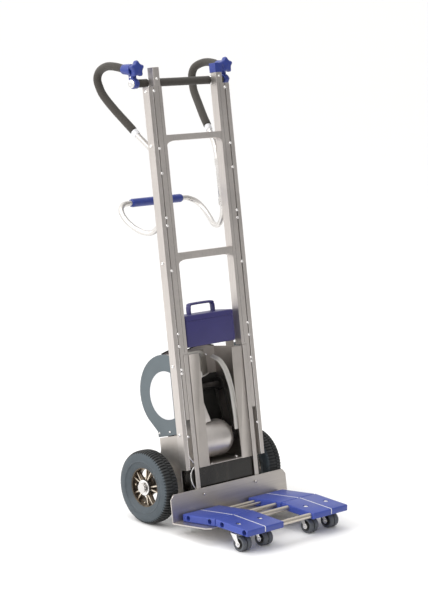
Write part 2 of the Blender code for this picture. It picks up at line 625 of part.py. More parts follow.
def main_wheels():
    """Solid tyres on rims with five double spokes, turning on stub axles."""
    middle = (WHEEL_INNER + WHEEL_OUTER) / 2
    half = (WHEEL_OUTER - WHEEL_INNER) / 2
    for side, s in SIDES:
        outward = "X" if s > 0 else "-X"
        tread = [(0.0860, half), (0.1130, half - 0.001), (0.1220, half - 0.009), (WHEEL_RADIUS, half - 0.020)]
        back = [(radius, -height) for radius, height in reversed(tread)]
        seat = [(RIM_RADIUS + GAP, -half + 0.004), (RIM_RADIUS + GAP, half - 0.004)]
        turned(side + "_tyre", tread + back + seat, (s * middle, 0, 0), outward, TYRE, axle, 32, True)
        profile = [(RIM_RADIUS, half - 0.004), (RIM_RADIUS, -half + 0.004), (RIM_RADIUS - 0.005, -half + 0.004),
                   (RIM_RADIUS - 0.005, half - 0.004)]
        rim = turned(side + "_rim", profile, (s * middle, 0, 0), outward, BRONZE, axle, 32, True)
        windows = []
        for i in range(5):
            base = 72 * i
            windows.append(window(0.034, 0.066, base + 5, base + 13, 1))
            windows.append(window(0.034, 0.066, base + 23, base + 67, 3))
        windows.append(circle(0.0150, (0, 0), 16))
        spokes = flat(side + "_spokes", [circle(RIM_RADIUS - 0.002, (0, 0), 32)] + windows, 0.012,
                      (s * (middle + 0.012), 0, 0), SIDE_VIEW, None, axle)
        hub_profile = [(HUB_RADIUS, 0.031), (HUB_RADIUS, -0.031), (AXLE_RADIUS + GAP, -0.031),
                       (AXLE_RADIUS + GAP, 0.031)]
        hub = turned(side + "_hub", hub_profile, (s * middle, 0, 0), outward, None, axle, 16, True)
        boolean(rim, spokes, "UNION")
        boolean(rim, hub, "UNION")
        inboard = 0.1725
        profile = [(0, 0.0350), (0.0170, 0.0350), (0.0170, 0.0313), (AXLE_RADIUS, 0.0313), (AXLE_RADIUS, -0.0315), (0.0150, -0.0320), (0.0150, 0.1798 - middle),
                   (0.0079, 0.1798 - middle), (0.0079, 0.1752 - middle), (0.0120, 0.1752 - middle),
                   (0.0120, inboard - middle), (0, inboard - middle)]
        turned(side + "_stub_axle", profile, (s * middle, 0, 0), outward, STEEL, frame, 16)


# ---- toe plate, folding deck and casters ------------------------------------------------------
def toe_plate():
    """Bent plate: a wall in front of the carrier bars and a floor that lifts towards its front."""
    dip = LEAN - DECK_TILT
    floor = TOE_DEPTH
    slope = (-math.cos(dip), -math.sin(dip))
    normal = (math.sin(dip) * -1, math.cos(dip))
    corner = (TOE_FRONT, TOE_CORNER_Z)
    front = (corner[0] + floor * slope[0], corner[1] + floor * slope[1])
    front_under = (front[0] - TOE_THICK * normal[0], front[1] - TOE_THICK * normal[1])
    back = TOE_FRONT + TOE_THICK
    outline = [(TOE_FRONT, TOE_WALL_TOP), corner, front, front_under, (back, TOE_CORNER_Z - TOE_THICK),
               (back, TOE_WALL_TOP)]
    plate = flat("toe_plate", [outline], 2 * TOE_HALF, (0, 0, 0), SIDE_VIEW, SHEET, frame)
    for side, s in SIDES:
        corner_cut = [(s * (TOE_HALF - 0.016), TOE_WALL_TOP + 0.001), (s * (TOE_HALF + 0.01), TOE_WALL_TOP + 0.001),
                      (s * (TOE_HALF + 0.01), TOE_WALL_TOP - 0.028)]
        boolean(plate, flat(side + "_wall_chamfer", [corner_cut], 0.02, (0, TOE_FRONT, 0), FRONT_VIEW, None, frame))
        nose = [(s * (TOE_HALF - 0.016), front[0] - 0.001), (s * (TOE_HALF + 0.01), front[0] - 0.001),
                (s * (TOE_HALF + 0.01), front[0] + 0.022)]
        boolean(plate, flat(side + "_nose_chamfer", [nose], 0.06, (0, 0, front[1]), PLAN_VIEW, None, frame))


FRONT_DECK_Y = -0.3205            # back end of the front pads, from the main axle
RODS = {
    "rear_rod": (0.038, 0.0140, 0.0065),
    "middle_rod": (0.142, 0.0140, 0.0075),
    "hinge_rod": (-0.352, 0.0752, 0.0085),
    "front_rod": (-0.456, 0.0738, 0.0090),
}
ROD_HALF = 0.2150


def deck():
    """Two hinged pairs of pads on cross rods; the rear pair lies on the toe plate."""
    floor_level = -WHEEL_RADIUS
    for side, s in SIDES:
        x0, x1 = sorted((s * PAD_IN, s * PAD_OUT))
        rear = box(side + "_rear_pad", (x0, -PAD_REAR_END, GAP), (x1, -PAD_REAR_START, PAD_THICK), BLUE, toe_corner,
                   0.003)
        length = (0.0, -PAD_FRONT_LENGTH)
        outline = [(0.0, PAD_BOTTOM), (length[1], PAD_BOTTOM), (length[1], PAD_BOTTOM + PAD_FRONT_THICK),
                   (0.0, PAD_BOTTOM + PAD_THICK - 0.001)]
        front = flat(side + "_front_pad", [outline], PAD_OUT - PAD_IN,
                     (s * (PAD_IN + PAD_OUT) / 2, FRONT_DECK_Y, floor_level), SIDE_VIEW, BLUE, axle)
        bevel(front, 0.003)
        for name in ("rear_rod", "middle_rod"):
            forward, height, radius = RODS[name]
            boolean(rear, cylinder(side + "_" + name + "_bore", radius + GAP, 0.3, (s * 0.18, -forward, height), "X",
                                   None, toe_corner, 16))
        for name in ("hinge_rod", "front_rod"):
            y, z, radius = RODS[name]
            boolean(front, cylinder(side + "_" + name + "_bore", radius + GAP, 0.3, (s * 0.18, y, z + floor_level),
                                    "X", None, axle, 16))
        for x in CASTER_X:
            boolean(front, cylinder(f"{side}_stem_bore_{x}", 0.0053, 0.08, (s * x, CASTER_Y, PAD_BOTTOM + floor_level),
                                    "Z", None, axle, 12))
    for name, (y, z, radius) in RODS.items():
        on_toe = name in ("rear_rod", "middle_rod")
        centre = (0, -y, z) if on_toe else (0, y, z + floor_level)
        cylinder(name, radius, 2 * ROD_HALF, centre, "X", ALUMINIUM, toe_corner if on_toe else axle, 16)


def casters():
    """Twin-wheel casters, each with a fork on a swivel stem under the front pads."""
    floor_level = -WHEEL_RADIUS
    for side, s in SIDES:
        for place_name, x in zip(("inner", "outer"), CASTER_X):
            name = side + "_" + place_name + "_caster"
            swivel = empty(name + "_swivel", (s * x, CASTER_Y, floor_level), (0, 0, 0), axle)
            top = PAD_BOTTOM - 2 * GAP
            stem_top = PAD_BOTTOM + PAD_THICK + 0.0040
            head = PAD_BOTTOM + PAD_THICK - 0.0008
            profile = [(0, stem_top), (0.0080, stem_top), (0.0080, head), (0.0050, head), (0.0050, top),
                       (0.0150, top), (0.0150, top - 0.0045), (0, top - 0.0045)]
            fork = turned(name + "_fork", profile, (0, 0, 0), "Z", STEEL, swivel, 12)
            axle_z = CASTER_RADIUS
            leg = [(0.012, 0.0560), (-0.012, 0.0560), (-CASTER_TRAIL - 0.009, axle_z + 0.004)]
            leg += arc((-CASTER_TRAIL, axle_z), 0.009, 180, 320, 3)
            for label, offset in (("near", -1), ("far", 1)):
                cheek = flat(f"{name}_{label}_cheek", [leg], 0.0018, (offset * 0.0222, 0, 0), SIDE_VIEW, None, swivel)
                boolean(fork, cheek, "UNION")
            bridge = box(name + "_bridge", (-0.0231, -0.0120, 0.0542), (0.0231, 0.0120, 0.0580), None, swivel)
            boolean(fork, bridge, "UNION")
            pin = cylinder(name + "_pin", 0.0035, 0.0460, (0, -CASTER_TRAIL, axle_z), "X", None, swivel, 8)
            boolean(fork, pin, "UNION")
            half = 0.0200
            groove = 0.0025
            profile = [(CASTER_RADIUS, half), (CASTER_RADIUS, groove), (0.0170, groove), (0.0170, -groove),
                       (CASTER_RADIUS, -groove), (CASTER_RADIUS, -half), (0.0040, -half), (0.0040, half)]
            turned(name + "_wheel", profile, (0, -CASTER_TRAIL, axle_z), "X", TREAD_GREY, swivel, 20, True)


rails()
posts()
struts()
carrier_bars()
top_bar()
hoops()
handle_joints()
rear_bow()
drive_housing()
motor()
upper_casting()
crankshaft()
climbing_legs()
covers()
battery()
main_wheels()
toe_plate()
deck()
casters()
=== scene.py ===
"""Looks of the stair climbing trolley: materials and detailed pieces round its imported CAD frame.

Metres, +Z up. Most pieces are built in "lean space": the upright frame's own space, whose origin is
the main axle and whose z runs up the rails. LEAN_SPACE carries them into the world.
"""
import math

import bmesh
import bpy
from mathutils import Matrix, Vector
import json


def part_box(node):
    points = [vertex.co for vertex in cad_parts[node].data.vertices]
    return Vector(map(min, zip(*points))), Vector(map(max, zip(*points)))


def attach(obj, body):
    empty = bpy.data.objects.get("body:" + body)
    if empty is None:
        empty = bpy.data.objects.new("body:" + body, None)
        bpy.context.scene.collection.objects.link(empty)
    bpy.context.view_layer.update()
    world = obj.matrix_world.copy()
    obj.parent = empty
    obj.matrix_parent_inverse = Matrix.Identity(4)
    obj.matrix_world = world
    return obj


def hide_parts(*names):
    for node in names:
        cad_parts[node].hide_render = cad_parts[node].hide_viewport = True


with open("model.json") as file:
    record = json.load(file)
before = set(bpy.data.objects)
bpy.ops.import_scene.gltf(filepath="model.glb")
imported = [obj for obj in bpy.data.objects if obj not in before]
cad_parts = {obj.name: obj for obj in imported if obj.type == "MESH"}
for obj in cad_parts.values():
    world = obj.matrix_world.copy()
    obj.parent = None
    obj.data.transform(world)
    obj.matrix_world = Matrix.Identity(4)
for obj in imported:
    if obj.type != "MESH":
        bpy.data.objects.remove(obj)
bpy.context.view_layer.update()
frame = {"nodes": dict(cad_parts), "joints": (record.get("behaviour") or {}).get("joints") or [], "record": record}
joints = {joint["name"]: joint for joint in frame["joints"]}
mounts = {mount["name"]: mount for mount in frame["record"]["mounts"]}
SIDES = (("left", -1), ("right", 1))

# ---- the frame's own spaces ---------------------------------------------------------------------
tyre_low, tyre_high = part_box("left_tyre")
AXLE = Vector((0, (tyre_low.y + tyre_high.y) / 2, (tyre_low.z + tyre_high.z) / 2))
UP = Vector(joints["handle_slide"]["axis"])
BACK = Vector((0, UP.z, -UP.y))
WORLD = Matrix.Identity(4)


def space(origin, across, along, upward):
    """Matrix of a space from its origin and its three directions."""
    made = Matrix((across, along, upward)).transposed().to_4x4()
    made.translation = origin
    return made


LEAN_SPACE = space(AXLE, Vector((1, 0, 0)), BACK, UP)
toe_up = Vector(mounts["left_rear_deck_top"]["axis"])
toe_along = Vector((0, toe_up.z, -toe_up.y))


def box_in(matrix, node):
    """Lowest and highest corner of a CAD node in another space."""
    inverse = matrix.inverted()
    points = [inverse @ vertex.co for vertex in frame["nodes"][node].data.vertices]
    low = Vector([min(p[i] for p in points) for i in range(3)])
    high = Vector([max(p[i] for p in points) for i in range(3)])
    return low, high


toe_low, toe_high = box_in(LEAN_SPACE, "toe_plate")
TOE_WALL_Y = toe_high.y - 0.004
TOE_SPACE = space(LEAN_SPACE @ Vector((0, TOE_WALL_Y, -0.1118)), Vector((1, 0, 0)), toe_along, toe_up)


# ---- materials ------------------------------------------------------------------------------------
def surface(name, colour, roughness, metallic=0.0, spread=0.10, rough_spread=0.08, grain=40.0, stretch=(1, 1,
                                                                                                        1),
            bump=0.0, bump_scale=400.0, tilt=0.0, coat=0.0, sheen=0.0):
    """Principled material with mottled colour, uneven gloss and a fine bump, all in object space."""
    made = bpy.data.materials.new(name)
    made.use_nodes = True
    nodes = made.node_tree.nodes
    link = made.node_tree.links.new
    shader = nodes["Principled BSDF"]
    shader.inputs["Metallic"].default_value = metallic
    shader.inputs["Coat Weight"].default_value = coat
    shader.inputs["Sheen Weight"].default_value = sheen
    place = nodes.new("ShaderNodeTexCoord")
    mapping = nodes.new("ShaderNodeMapping")
    mapping.inputs["Rotation"].default_value = (tilt, 0, 0)
    mapping.inputs["Scale"].default_value = stretch
    link(place.outputs["Object"], mapping.inputs["Vector"])
    mottle = nodes.new("ShaderNodeTexNoise")
    mottle.inputs["Scale"].default_value = grain
    mottle.inputs["Detail"].default_value = 6.0
    link(mapping.outputs["Vector"], mottle.inputs["Vector"])
    ramp = nodes.new("ShaderNodeValToRGB")
    ramp.color_ramp.elements[0].position = 0.30
    ramp.color_ramp.elements[1].position = 0.70
    ramp.color_ramp.elements[0].color = (*[c * (1 - spread) for c in colour], 1)
    ramp.color_ramp.elements[1].color = (*[min(1.0, c * (1 + spread)) for c in colour], 1)
    link(mottle.outputs["Fac"], ramp.inputs["Fac"])
    link(ramp.outputs["Color"], shader.inputs["Base Color"])
    smudge = nodes.new("ShaderNodeTexNoise")
    smudge.inputs["Scale"].default_value = 9.0
    smudge.inputs["Detail"].default_value = 4.0
    link(place.outputs["Object"], smudge.inputs["Vector"])
    gloss = nodes.new("ShaderNodeMapRange")
    gloss.inputs["From Min"].default_value = 0.3
    gloss.inputs["From Max"].default_value = 0.7
    gloss.inputs["To Min"].default_value = roughness - rough_spread
    gloss.inputs["To Max"].default_value = roughness + rough_spread
    link(smudge.outputs["Fac"], gloss.inputs["Value"])
    link(gloss.outputs["Result"], shader.inputs["Roughness"])
    if bump:
        fine = nodes.new("ShaderNodeTexNoise")
        fine.inputs["Scale"].default_value = bump_scale
        fine.inputs["Detail"].default_value = 3.0
        link(mapping.outputs["Vector"], fine.inputs["Vector"])
        relief = nodes.new("ShaderNodeBump")
        relief.inputs["Strength"].default_value = bump
        relief.inputs["Distance"].default_value = 0.0004
        link(fine.outputs["Fac"], relief.inputs["Height"])
        link(relief.outputs["Normal"], shader.inputs["Normal"])
    return made


LEAN_TURN = math.atan2(UP.y, UP.z)
ALUMINIUM = surface("brushed_aluminium", (0.56, 0.525, 0.50), 0.40, 1.0, 0.07, 0.06, 60, (6, 6, 0.12), 0.10,
                    60,
                    tilt=LEAN_TURN)
SHEET = surface("sheet_aluminium", (0.50, 0.465, 0.435), 0.44, 1.0, 0.07, 0.08, 12, (1, 1, 1), 0.06, 300)
TOE_SHEET = surface("toe_sheet", (0.55, 0.515, 0.485), 0.40, 1.0, 0.06, 0.08, 40, (0.15, 5, 5), 0.10, 60)
ROD = surface("rod_aluminium", (0.58, 0.53, 0.46), 0.36, 1.0, 0.08, 0.06, 60, (0.15, 5, 5), 0.08, 60)
STEEL = surface("zinc_steel", (0.64, 0.62, 0.60), 0.28, 1.0, 0.05, 0.06, 25, (1, 1, 1), 0.03, 300)
BRIGHT = surface("bright_steel", (0.78, 0.77, 0.76), 0.20, 1.0, 0.03, 0.04, 25, (1, 1, 1), 0.02, 300)
DARK_STEEL = surface("oiled_steel", (0.09, 0.085, 0.08), 0.42, 0.9, 0.25, 0.08, 40, (1, 1, 1), 0.1, 300)
BLUE = surface("blue_plastic", (0.018, 0.036, 0.215), 0.34, 0.0, 0.08, 0.07, 18, (1, 1, 1), 0.18, 900,
               coat=0.1)
PAD_BLUE = surface("pad_blue", (0.032, 0.058, 0.300), 0.42, 0.0, 0.08, 0.07, 14, (1, 1, 1), 0.30, 700)
BATTERY_BLUE = surface("battery_blue", (0.026, 0.022, 0.120), 0.40, 0.0, 0.08, 0.06, 14, (1, 1, 1), 0.25, 900)
BLACK = surface("black_plastic", (0.012, 0.012, 0.011), 0.42, 0.0, 0.30, 0.08, 30, (1, 1, 1), 0.3, 500)
GLOSS_BLACK = surface("gloss_black", (0.014, 0.012, 0.010), 0.26, 0.0, 0.60, 0.10, 14, (4, 4, 0.3), 0.12, 200)
GREY = surface("cover_grey", (0.085, 0.106, 0.118), 0.46, 0.0, 0.06, 0.06, 16, (1, 1, 1), 0.25, 700)
FOAM = surface("grip_foam", (0.038, 0.033, 0.027), 0.85, 0.0, 0.25, 0.05, 260, (1, 1, 1), 0.9, 900,
               sheen=0.15)
RUBBER = surface("tyre_rubber", (0.016, 0.0175, 0.018), 0.58, 0.0, 0.30, 0.10, 60, (1, 1, 1), 0.35, 500)
SIDEWALL = surface("tyre_sidewall", (0.046, 0.060, 0.071), 0.48, 0.0, 0.12, 0.08, 40, (1, 1, 1), 0.25, 500)
RIM = surface("rim_bronze", (0.17, 0.14, 0.11), 0.34, 0.9, 0.25, 0.10, 50, (1, 1, 1), 0.1, 300)
CASTING = surface("dark_casting", (0.30, 0.28, 0.25), 0.46, 0.85, 0.20, 0.10, 30, (1, 1, 1), 0.5, 250)
MOTOR = surface("motor_casting", (0.60, 0.565, 0.54), 0.42, 0.95, 0.08, 0.08, 20, (0.4, 1, 1), 0.15, 300)
STRAP = surface("guard_strap", (0.62, 0.60, 0.57), 0.50, 0.6, 0.06, 0.08, 18, (1, 1, 1), 0.10, 400)
SPOKE = surface("spoke_edge", (0.62, 0.55, 0.46), 0.34, 1.0, 0.15, 0.08, 40, (1, 1, 1), 0.05, 300)
SEAM_SHADE = surface("seam_shadow", (0.20, 0.18, 0.17), 0.5, 0.9, 0.1, 0.05, 40, (1, 1, 0.2))
WHITE = surface("white_film", (0.66, 0.66, 0.68), 0.32, 0.0, 0.01, 0.05, 20, (1, 1, 1), 0.03, 300)
TREAD_GREY = surface("caster_tread", (0.085, 0.092, 0.105), 0.55, 0.0, 0.15, 0.08, 60, (1, 1, 1), 0.3, 600)


# ---- mesh helpers -----------------------------------------------------------------------------------
def piece(name, mesh, paint, body, matrix=WORLD, replaces=()):
    """A visible piece that rides on a body of the frame."""
    made = bpy.data.objects.new(name, mesh)
    bpy.context.scene.collection.objects.link(made)
    made.matrix_world = matrix
    mesh.materials.clear()
    mesh.materials.append(paint)
    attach(made, body)
    if replaces:
        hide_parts(*replaces)
    return made


def to_mesh(cage, name, angle=35):
    """Finish a bmesh: consistent normals, smooth faces and sharp edges over the angle."""
    bmesh.ops.recalc_face_normals(cage, faces=cage.faces)
    mesh = bpy.data.meshes.new(name)
    cage.to_mesh(mesh)
    cage.free()
    mesh.shade_smooth()
    mesh.set_sharp_from_angle(angle=math.radians(angle))
    return mesh


def joined(name, meshes, angle=35):
    """One mesh from (mesh, matrix) pairs."""
    cage = bmesh.new()
    for mesh, matrix in meshes:
        before = len(cage.verts)
        cage.from_mesh(mesh)
        cage.verts.ensure_lookup_table()
        bmesh.ops.transform(cage, matrix=matrix, verts=cage.verts[before:])
    return to_mesh(cage, name, angle)


def smooth_path(route, per_span):
    """Points on a Catmull-Rom curve through the route."""
    points = [Vector(p) for p in route]
    padded = [points[0] * 2 - points[1]] + points + [points[-1] * 2 - points[-2]]
    path = []
    for i in range(len(points) - 1):
        a, b, c, d = padded[i:i + 4]
        for step in range(per_span):
            t = step / per_span
            path.append(0.5 * ((2 * b) + (c - a) * t + (2 * a - 5 * b + 4 * c - d) * t * t
                               + (3 * b - a - 3 * c + d) * t * t * t))
    path.append(points[-1])
    return path


def sweep(name, path, radii, sides=24, closed=False):
    """Round bar along a path, with one radius or one per point, and flat ends."""
    if isinstance(radii, (int, float)):
        radii = [radii] * len(path)
    cage = bmesh.new()
    rings = []
    count = len(path)
    direction = (path[1] - path[0]).normalized()
    side = direction.orthogonal().normalized()
    for i, (centre, radius) in enumerate(zip(path, radii)):
        before = path[i - 1] if i or closed else path[i]
        after = path[(i + 1) % count] if i < count - 1 or closed else path[i]
        direction = (after - before).normalized()
        side = (side - direction * side.dot(direction)).normalized()
        other = direction.cross(side)
        turns = [2 * math.pi * k / sides for k in range(sides)]
        rings.append([cage.verts.new(centre + (side * math.cos(a) + other * math.sin(a)) * radius) for a in turns])
    pairs = list(zip(rings, rings[1:]))
    if closed:
        pairs.append((rings[-1], rings[0]))
    for low, high in pairs:
        for k in range(sides):
            cage.faces.new((low[k], low[(k + 1) % sides], high[(k + 1) % sides], high[k]))
    if not closed:
        cage.faces.new(rings[0][::-1])
        cage.faces.new(rings[-1])
    return to_mesh(cage, name, 50)


def rounded_ends(path, radius, edge):
    """Path and radii with both ends of the bar rounded off."""
    first = (path[1] - path[0]).normalized()
    last = (path[-2] - path[-1]).normalized()
    start = [path[0], path[0] + first * edge * 0.3, path[0] + first * edge]
    finish = [path[-1] + last * edge, path[-1] + last * edge * 0.3, path[-1]]
    middle = [p for p in path[1:-1] if (p - path[0]).length > edge * 1.5 and (p - path[-1]).length > edge * 1.5]
    radii = [radius - edge, radius - edge * 0.3, radius] + [radius] * len(middle) + [radius,
                                                                                     radius - edge * 0.3,
                                                                                     radius - edge]
    return start + middle + finish, radii


def lathe(name, profile, steps=48, closed=False, angle=35):
    """Turned piece about z from (radius, height) points."""
    cage = bmesh.new()
    rings = []
    for radius, height in profile:
        if radius < 1e-6:
            rings.append([cage.verts.new((0, 0, height))] * steps)
            continue
        turns = [2 * math.pi * k / steps for k in range(steps)]
        rings.append([cage.verts.new((radius * math.cos(a), radius * math.sin(a), height)) for a in turns])
    pairs = list(zip(rings, rings[1:]))
    if closed:
        pairs.append((rings[-1], rings[0]))
    for low, high in pairs:
        for k in range(steps):
            corners = []
            for vertex in (low[k], low[(k + 1) % steps], high[(k + 1) % steps], high[k]):
                if vertex not in corners:
                    corners.append(vertex)
            if len(corners) > 2:
                cage.faces.new(corners)
    return to_mesh(cage, name, angle)


def plate(name, outlines, thickness, rounding=0.0006, angle=35):
    """Flat piece in the xy plane with softened edges; the outlines after the first are holes."""
    curve = bpy.data.curves.new(name, "CURVE")
    curve.dimensions = "2D"
    curve.fill_mode = "BOTH"
    curve.extrude = thickness / 2 - rounding
    curve.bevel_depth = rounding
    curve.offset = -rounding
    curve.bevel_resolution = 2
    for outline in outlines:
        spline = curve.splines.new("POLY")
        spline.points.add(len(outline) - 1)
        for point, (x, y) in zip(spline.points, outline):
            point.co = (x, y, 0.0, 1.0)
        spline.use_cyclic_u = True
    temporary = bpy.data.objects.new(name, curve)
    bpy.context.scene.collection.objects.link(temporary)
    mesh = applied(temporary)
    cage = bmesh.new()
    cage.from_mesh(mesh)
    bmesh.ops.remove_doubles(cage, verts=cage.verts, dist=0.00001)
    return to_mesh(cage, name, angle)


def applied(made):
    """The mesh of an object with its modifiers applied; the object is removed."""
    bpy.context.view_layer.update()
    graph = bpy.context.evaluated_depsgraph_get()
    mesh = bpy.data.meshes.new_from_object(made.evaluated_get(graph))
    bpy.data.objects.remove(made, do_unlink=True)
    return mesh


def block(name, low, high, radius, segments=3):
    """Box with rounded edges."""
    cage = bmesh.new()
    bmesh.ops.create_cube(cage, size=1.0)
    size = Vector(high) - Vector(low)
    centre = (Vector(high) + Vector(low)) / 2
    bmesh.ops.scale(cage, vec=size, verts=cage.verts)
    bmesh.ops.translate(cage, vec=centre, verts=cage.verts)
    bmesh.ops.bevel(cage, geom=cage.edges[:], offset=radius, segments=segments, profile=0.5, affect="EDGES")
    return to_mesh(cage, name, 35)


def carved(name, mesh, cutters, operation="DIFFERENCE", angle=35):
    """A mesh with others cut from it or joined to it."""
    base = bpy.data.objects.new(name, mesh)
    bpy.context.scene.collection.objects.link(base)
    others = []
    for cutter in cutters:
        other = bpy.data.objects.new(name + "_tool", cutter)
        bpy.context.scene.collection.objects.link(other)
        others.append(other)
        step = base.modifiers.new("cut", "BOOLEAN")
        step.operation = operation
        step.solver = "EXACT"
        step.object = other
    made = applied(base)
    for other in others:
        bpy.data.objects.remove(other, do_unlink=True)
    made.shade_smooth()
    made.set_sharp_from_angle(angle=math.radians(angle))
    return made


def moved(mesh, matrix):
    """The same mesh after a change of place."""
    mesh.transform(matrix)
    return mesh


def circle(radius, centre=(0, 0), count=48):
    """Round outline."""
    turn = [2 * math.pi * i / count for i in range(count)]
    return [(centre[0] + radius * math.cos(a), centre[1] + radius * math.sin(a)) for a in turn]


def arc(centre, radius, start, end, count):
    """Points of an arc between two angles in degrees."""
    angles = [math.radians(start + (end - start) * i / count) for i in range(count + 1)]
    return [(centre[0] + radius * math.cos(a), centre[1] + radius * math.sin(a)) for a in angles]


SIDE_VIEW = Matrix(((0, 0, 1), (1, 0, 0), (0, 1, 0))).to_4x4()     # outline (y, z), thickness in x
FRONT_VIEW = Matrix(((1, 0, 0), (0, 0, -1), (0, 1, 0))).to_4x4()   # outline (x, z), thickness in y
TURN = {"X": SIDE_VIEW, "Y": Matrix(((0, 1, 0), (0, 0, 1), (1, 0, 0))).to_4x4(), "Z": WORLD}
TURN["-X"] = Matrix.Rotation(math.pi, 4, "Z") @ TURN["X"]
TURN["-Y"] = Matrix.Rotation(math.pi, 4, "Z") @ TURN["Y"]
TURN["-Z"] = Matrix.Rotation(math.pi, 4, "X")


def at(position, axis="Z"):
    """Matrix that stands a z-axis piece at a position, pointing along an axis."""
    return Matrix.Translation(Vector(position)) @ TURN[axis]


def cap_screw(radius, height, name="cap_screw"):
    """Button-head screw with a hexagonal socket; its seat is at z = 0."""
    dome = [(0, -0.0005), (radius, -0.0005), (radius, height * 0.35), (radius * 0.82, height * 0.8),
            (radius * 0.52, height), (radius * 0.45, height * 0.95), (radius * 0.42, height * 0.45), (0,
                                                                                                      height * 0.4)]
    return lathe(name, dome, 18, angle=40)


def hex_bolt(radius, height, name="hex_bolt"):
    """Hexagon-head bolt on a round washer."""
    washer = lathe(name, [(0, -0.0005), (radius * 1.35, -0.0005), (radius * 1.35, 0.0012), (0, 0.0012)], 24)
    head = lathe(name, [(0, 0.001), (radius, 0.001), (radius, height - 0.0006), (radius * 0.86, height), (0,
                                                                                                          height)], 6,
                 angle=20)
    return joined(name, [(washer, WORLD), (head, WORLD)])


def coat(node, paint, softened=0.0):
    """Give a CAD node its finished material, with lightly softened edges."""
    target = frame["nodes"][node]
    target.data.materials.clear()
    target.data.materials.append(paint)
    if softened:
        weld = target.modifiers.new("weld", "WELD")
        weld.merge_threshold = 0.00002
        edge = target.modifiers.new("softened", "BEVEL")
        edge.width = softened
        edge.segments = 2
        edge.limit_method = "ANGLE"
        edge.angle_limit = math.radians(40)
        edge.harden_normals = True


# ---- rails, posts, struts -----------------------------------------------------------------------
rail_low, rail_high = box_in(LEAN_SPACE, "right_rail")
RAIL_OUT = rail_high.x
RAIL_FRONT = rail_low.y
RAIL_TOP = rail_high.z
RAIL_LOW = rail_low.z


def rails():
    """Extrusions, posts and struts keep their CAD shape under a brushed finish."""
    for side, s in SIDES:
        coat(side + "_rail", ALUMINIUM, 0.0007)
        coat(side + "_post", ALUMINIUM, 0.0007)
        coat(side + "_carrier_bar", ALUMINIUM, 0.0006)
    coat("upper_strut", ALUMINIUM, 0.0012)
    coat("lower_strut", ALUMINIUM, 0.0012)


GROOVE_X = 0.1605
SEAM_SHADE_X = 0.1384
LIP_X = 0.1648


def rail_details():
    """Dark seam strips that paint shade, a bright lip that paints the groove's highlight, and screws in the front
    groove and in the rails' outer sides.
    """
    front = []
    sides = []
    for side, s in SIDES:
        for z in (1.312, 1.122, 1.040, 0.892, 0.866, 0.716, 0.505, 0.463, 0.385, 0.372, 0.160):
            front.append((cap_screw(0.0052, 0.0036), at((s * GROOVE_X, RAIL_FRONT - 0.0002, z), "-Y")))
        for z in (1.311, 1.132, 0.742, 0.398, 0.168):
            sides.append((cap_screw(0.0058, 0.0040), at((s * (RAIL_OUT + 0.0002), -0.1150, z),
                                                        "X" if s > 0 else "-X")))
        front.append((cap_screw(0.0045, 0.0030), at((s * 0.1407, -0.1287, 1.352), "-Y")))
        middle = (RAIL_TOP + 0.440) / 2
        half = (RAIL_TOP - 0.440) / 2
        # dark strip along each rail's front: painted shade at the seam
        seam_shade = block("seam_shade", (s * SEAM_SHADE_X - 0.0006, RAIL_FRONT - 0.0002, middle - half),
                     (s * SEAM_SHADE_X + 0.0006, RAIL_FRONT + 0.0006, middle + half), 0.0002, 1)
        piece(side + "_rail_seam_shade", seam_shade, SEAM_SHADE, "frame", LEAN_SPACE)
        # real lip beside the groove, coloured brighter than the rail: painted highlight along the groove
        highlight_lip = block("highlight_lip", (s * LIP_X - 0.0007, RAIL_FRONT - 0.0006, RAIL_LOW + 0.001),
                    (s * LIP_X + 0.0007, RAIL_FRONT + 0.0006, RAIL_TOP - 0.001), 0.0003, 2)
        piece(side + "_groove_lip_highlight", highlight_lip, BRIGHT, "frame", LEAN_SPACE)
    piece("rail_front_screws", joined("rail_front_screws", front), BRIGHT, "frame", LEAN_SPACE)
    piece("rail_side_screws", joined("rail_side_screws", sides), BRIGHT, "frame", LEAN_SPACE)


# ---- handles --------------------------------------------------------------------------------------
HOOP_ROUTE = (
    (0.2100, -0.0820, 1.3885), (0.2120, -0.0600, 1.3920), (0.2190, -0.0200, 1.4050), (0.2200, 0.0250, 1.4110),
    (0.2160, 0.0680, 1.4010), (0.2150, 0.0870, 1.3780), (0.2120, 0.0860, 1.3510), (0.2050, 0.0750, 1.3170),
    (0.1920, 0.0420, 1.2680), (0.1790, 0.0120, 1.2280), (0.1680, -0.0180, 1.1900),
)
HOOP_TAIL = (
    (0.1680, -0.0180, 1.1900), (0.1580, -0.0420, 1.1590), (0.1470, -0.0650, 1.1300), (0.1375, -0.0830,
                                                                                      1.0980),
    (0.1345, -0.0890, 1.0600), (0.1340, -0.0893, 1.0100), (0.1340, -0.0893, 0.9300),
)
GRIP_RADIUS = 0.0138
TUBE_RADIUS = 0.0095


def hoops():
    """Foam-sleeved hoop handles with a bright collar where the foam ends."""
    for side, s in SIDES:
        grip = smooth_path([(s * x, y, z) for x, y, z in HOOP_ROUTE], 6)
        path, radii = rounded_ends(grip, GRIP_RADIUS, 0.0025)
        sleeve = piece(side + "_hoop_foam", sweep("foam", path, radii, 28), FOAM, "handles", LEAN_SPACE,
                       (side + "_hoop_grip",))
        tail = smooth_path([(s * x, y, z) for x, y, z in HOOP_TAIL], 6)
        path, radii = rounded_ends(tail, TUBE_RADIUS, 0.0015)
        piece(side + "_hoop_steel", sweep("hoop", path, radii, 24), STEEL, "handles", LEAN_SPACE,
              (side + "_hoop_tube",))
        sleeve = [p for p in tail if (p - tail[0]).length < 0.026]
        path, radii = rounded_ends(sleeve, TUBE_RADIUS + 0.0022, 0.0012)
        piece(side + "_hoop_sleeve", sweep("sleeve", path, radii, 24), WHITE, "handles", LEAN_SPACE)


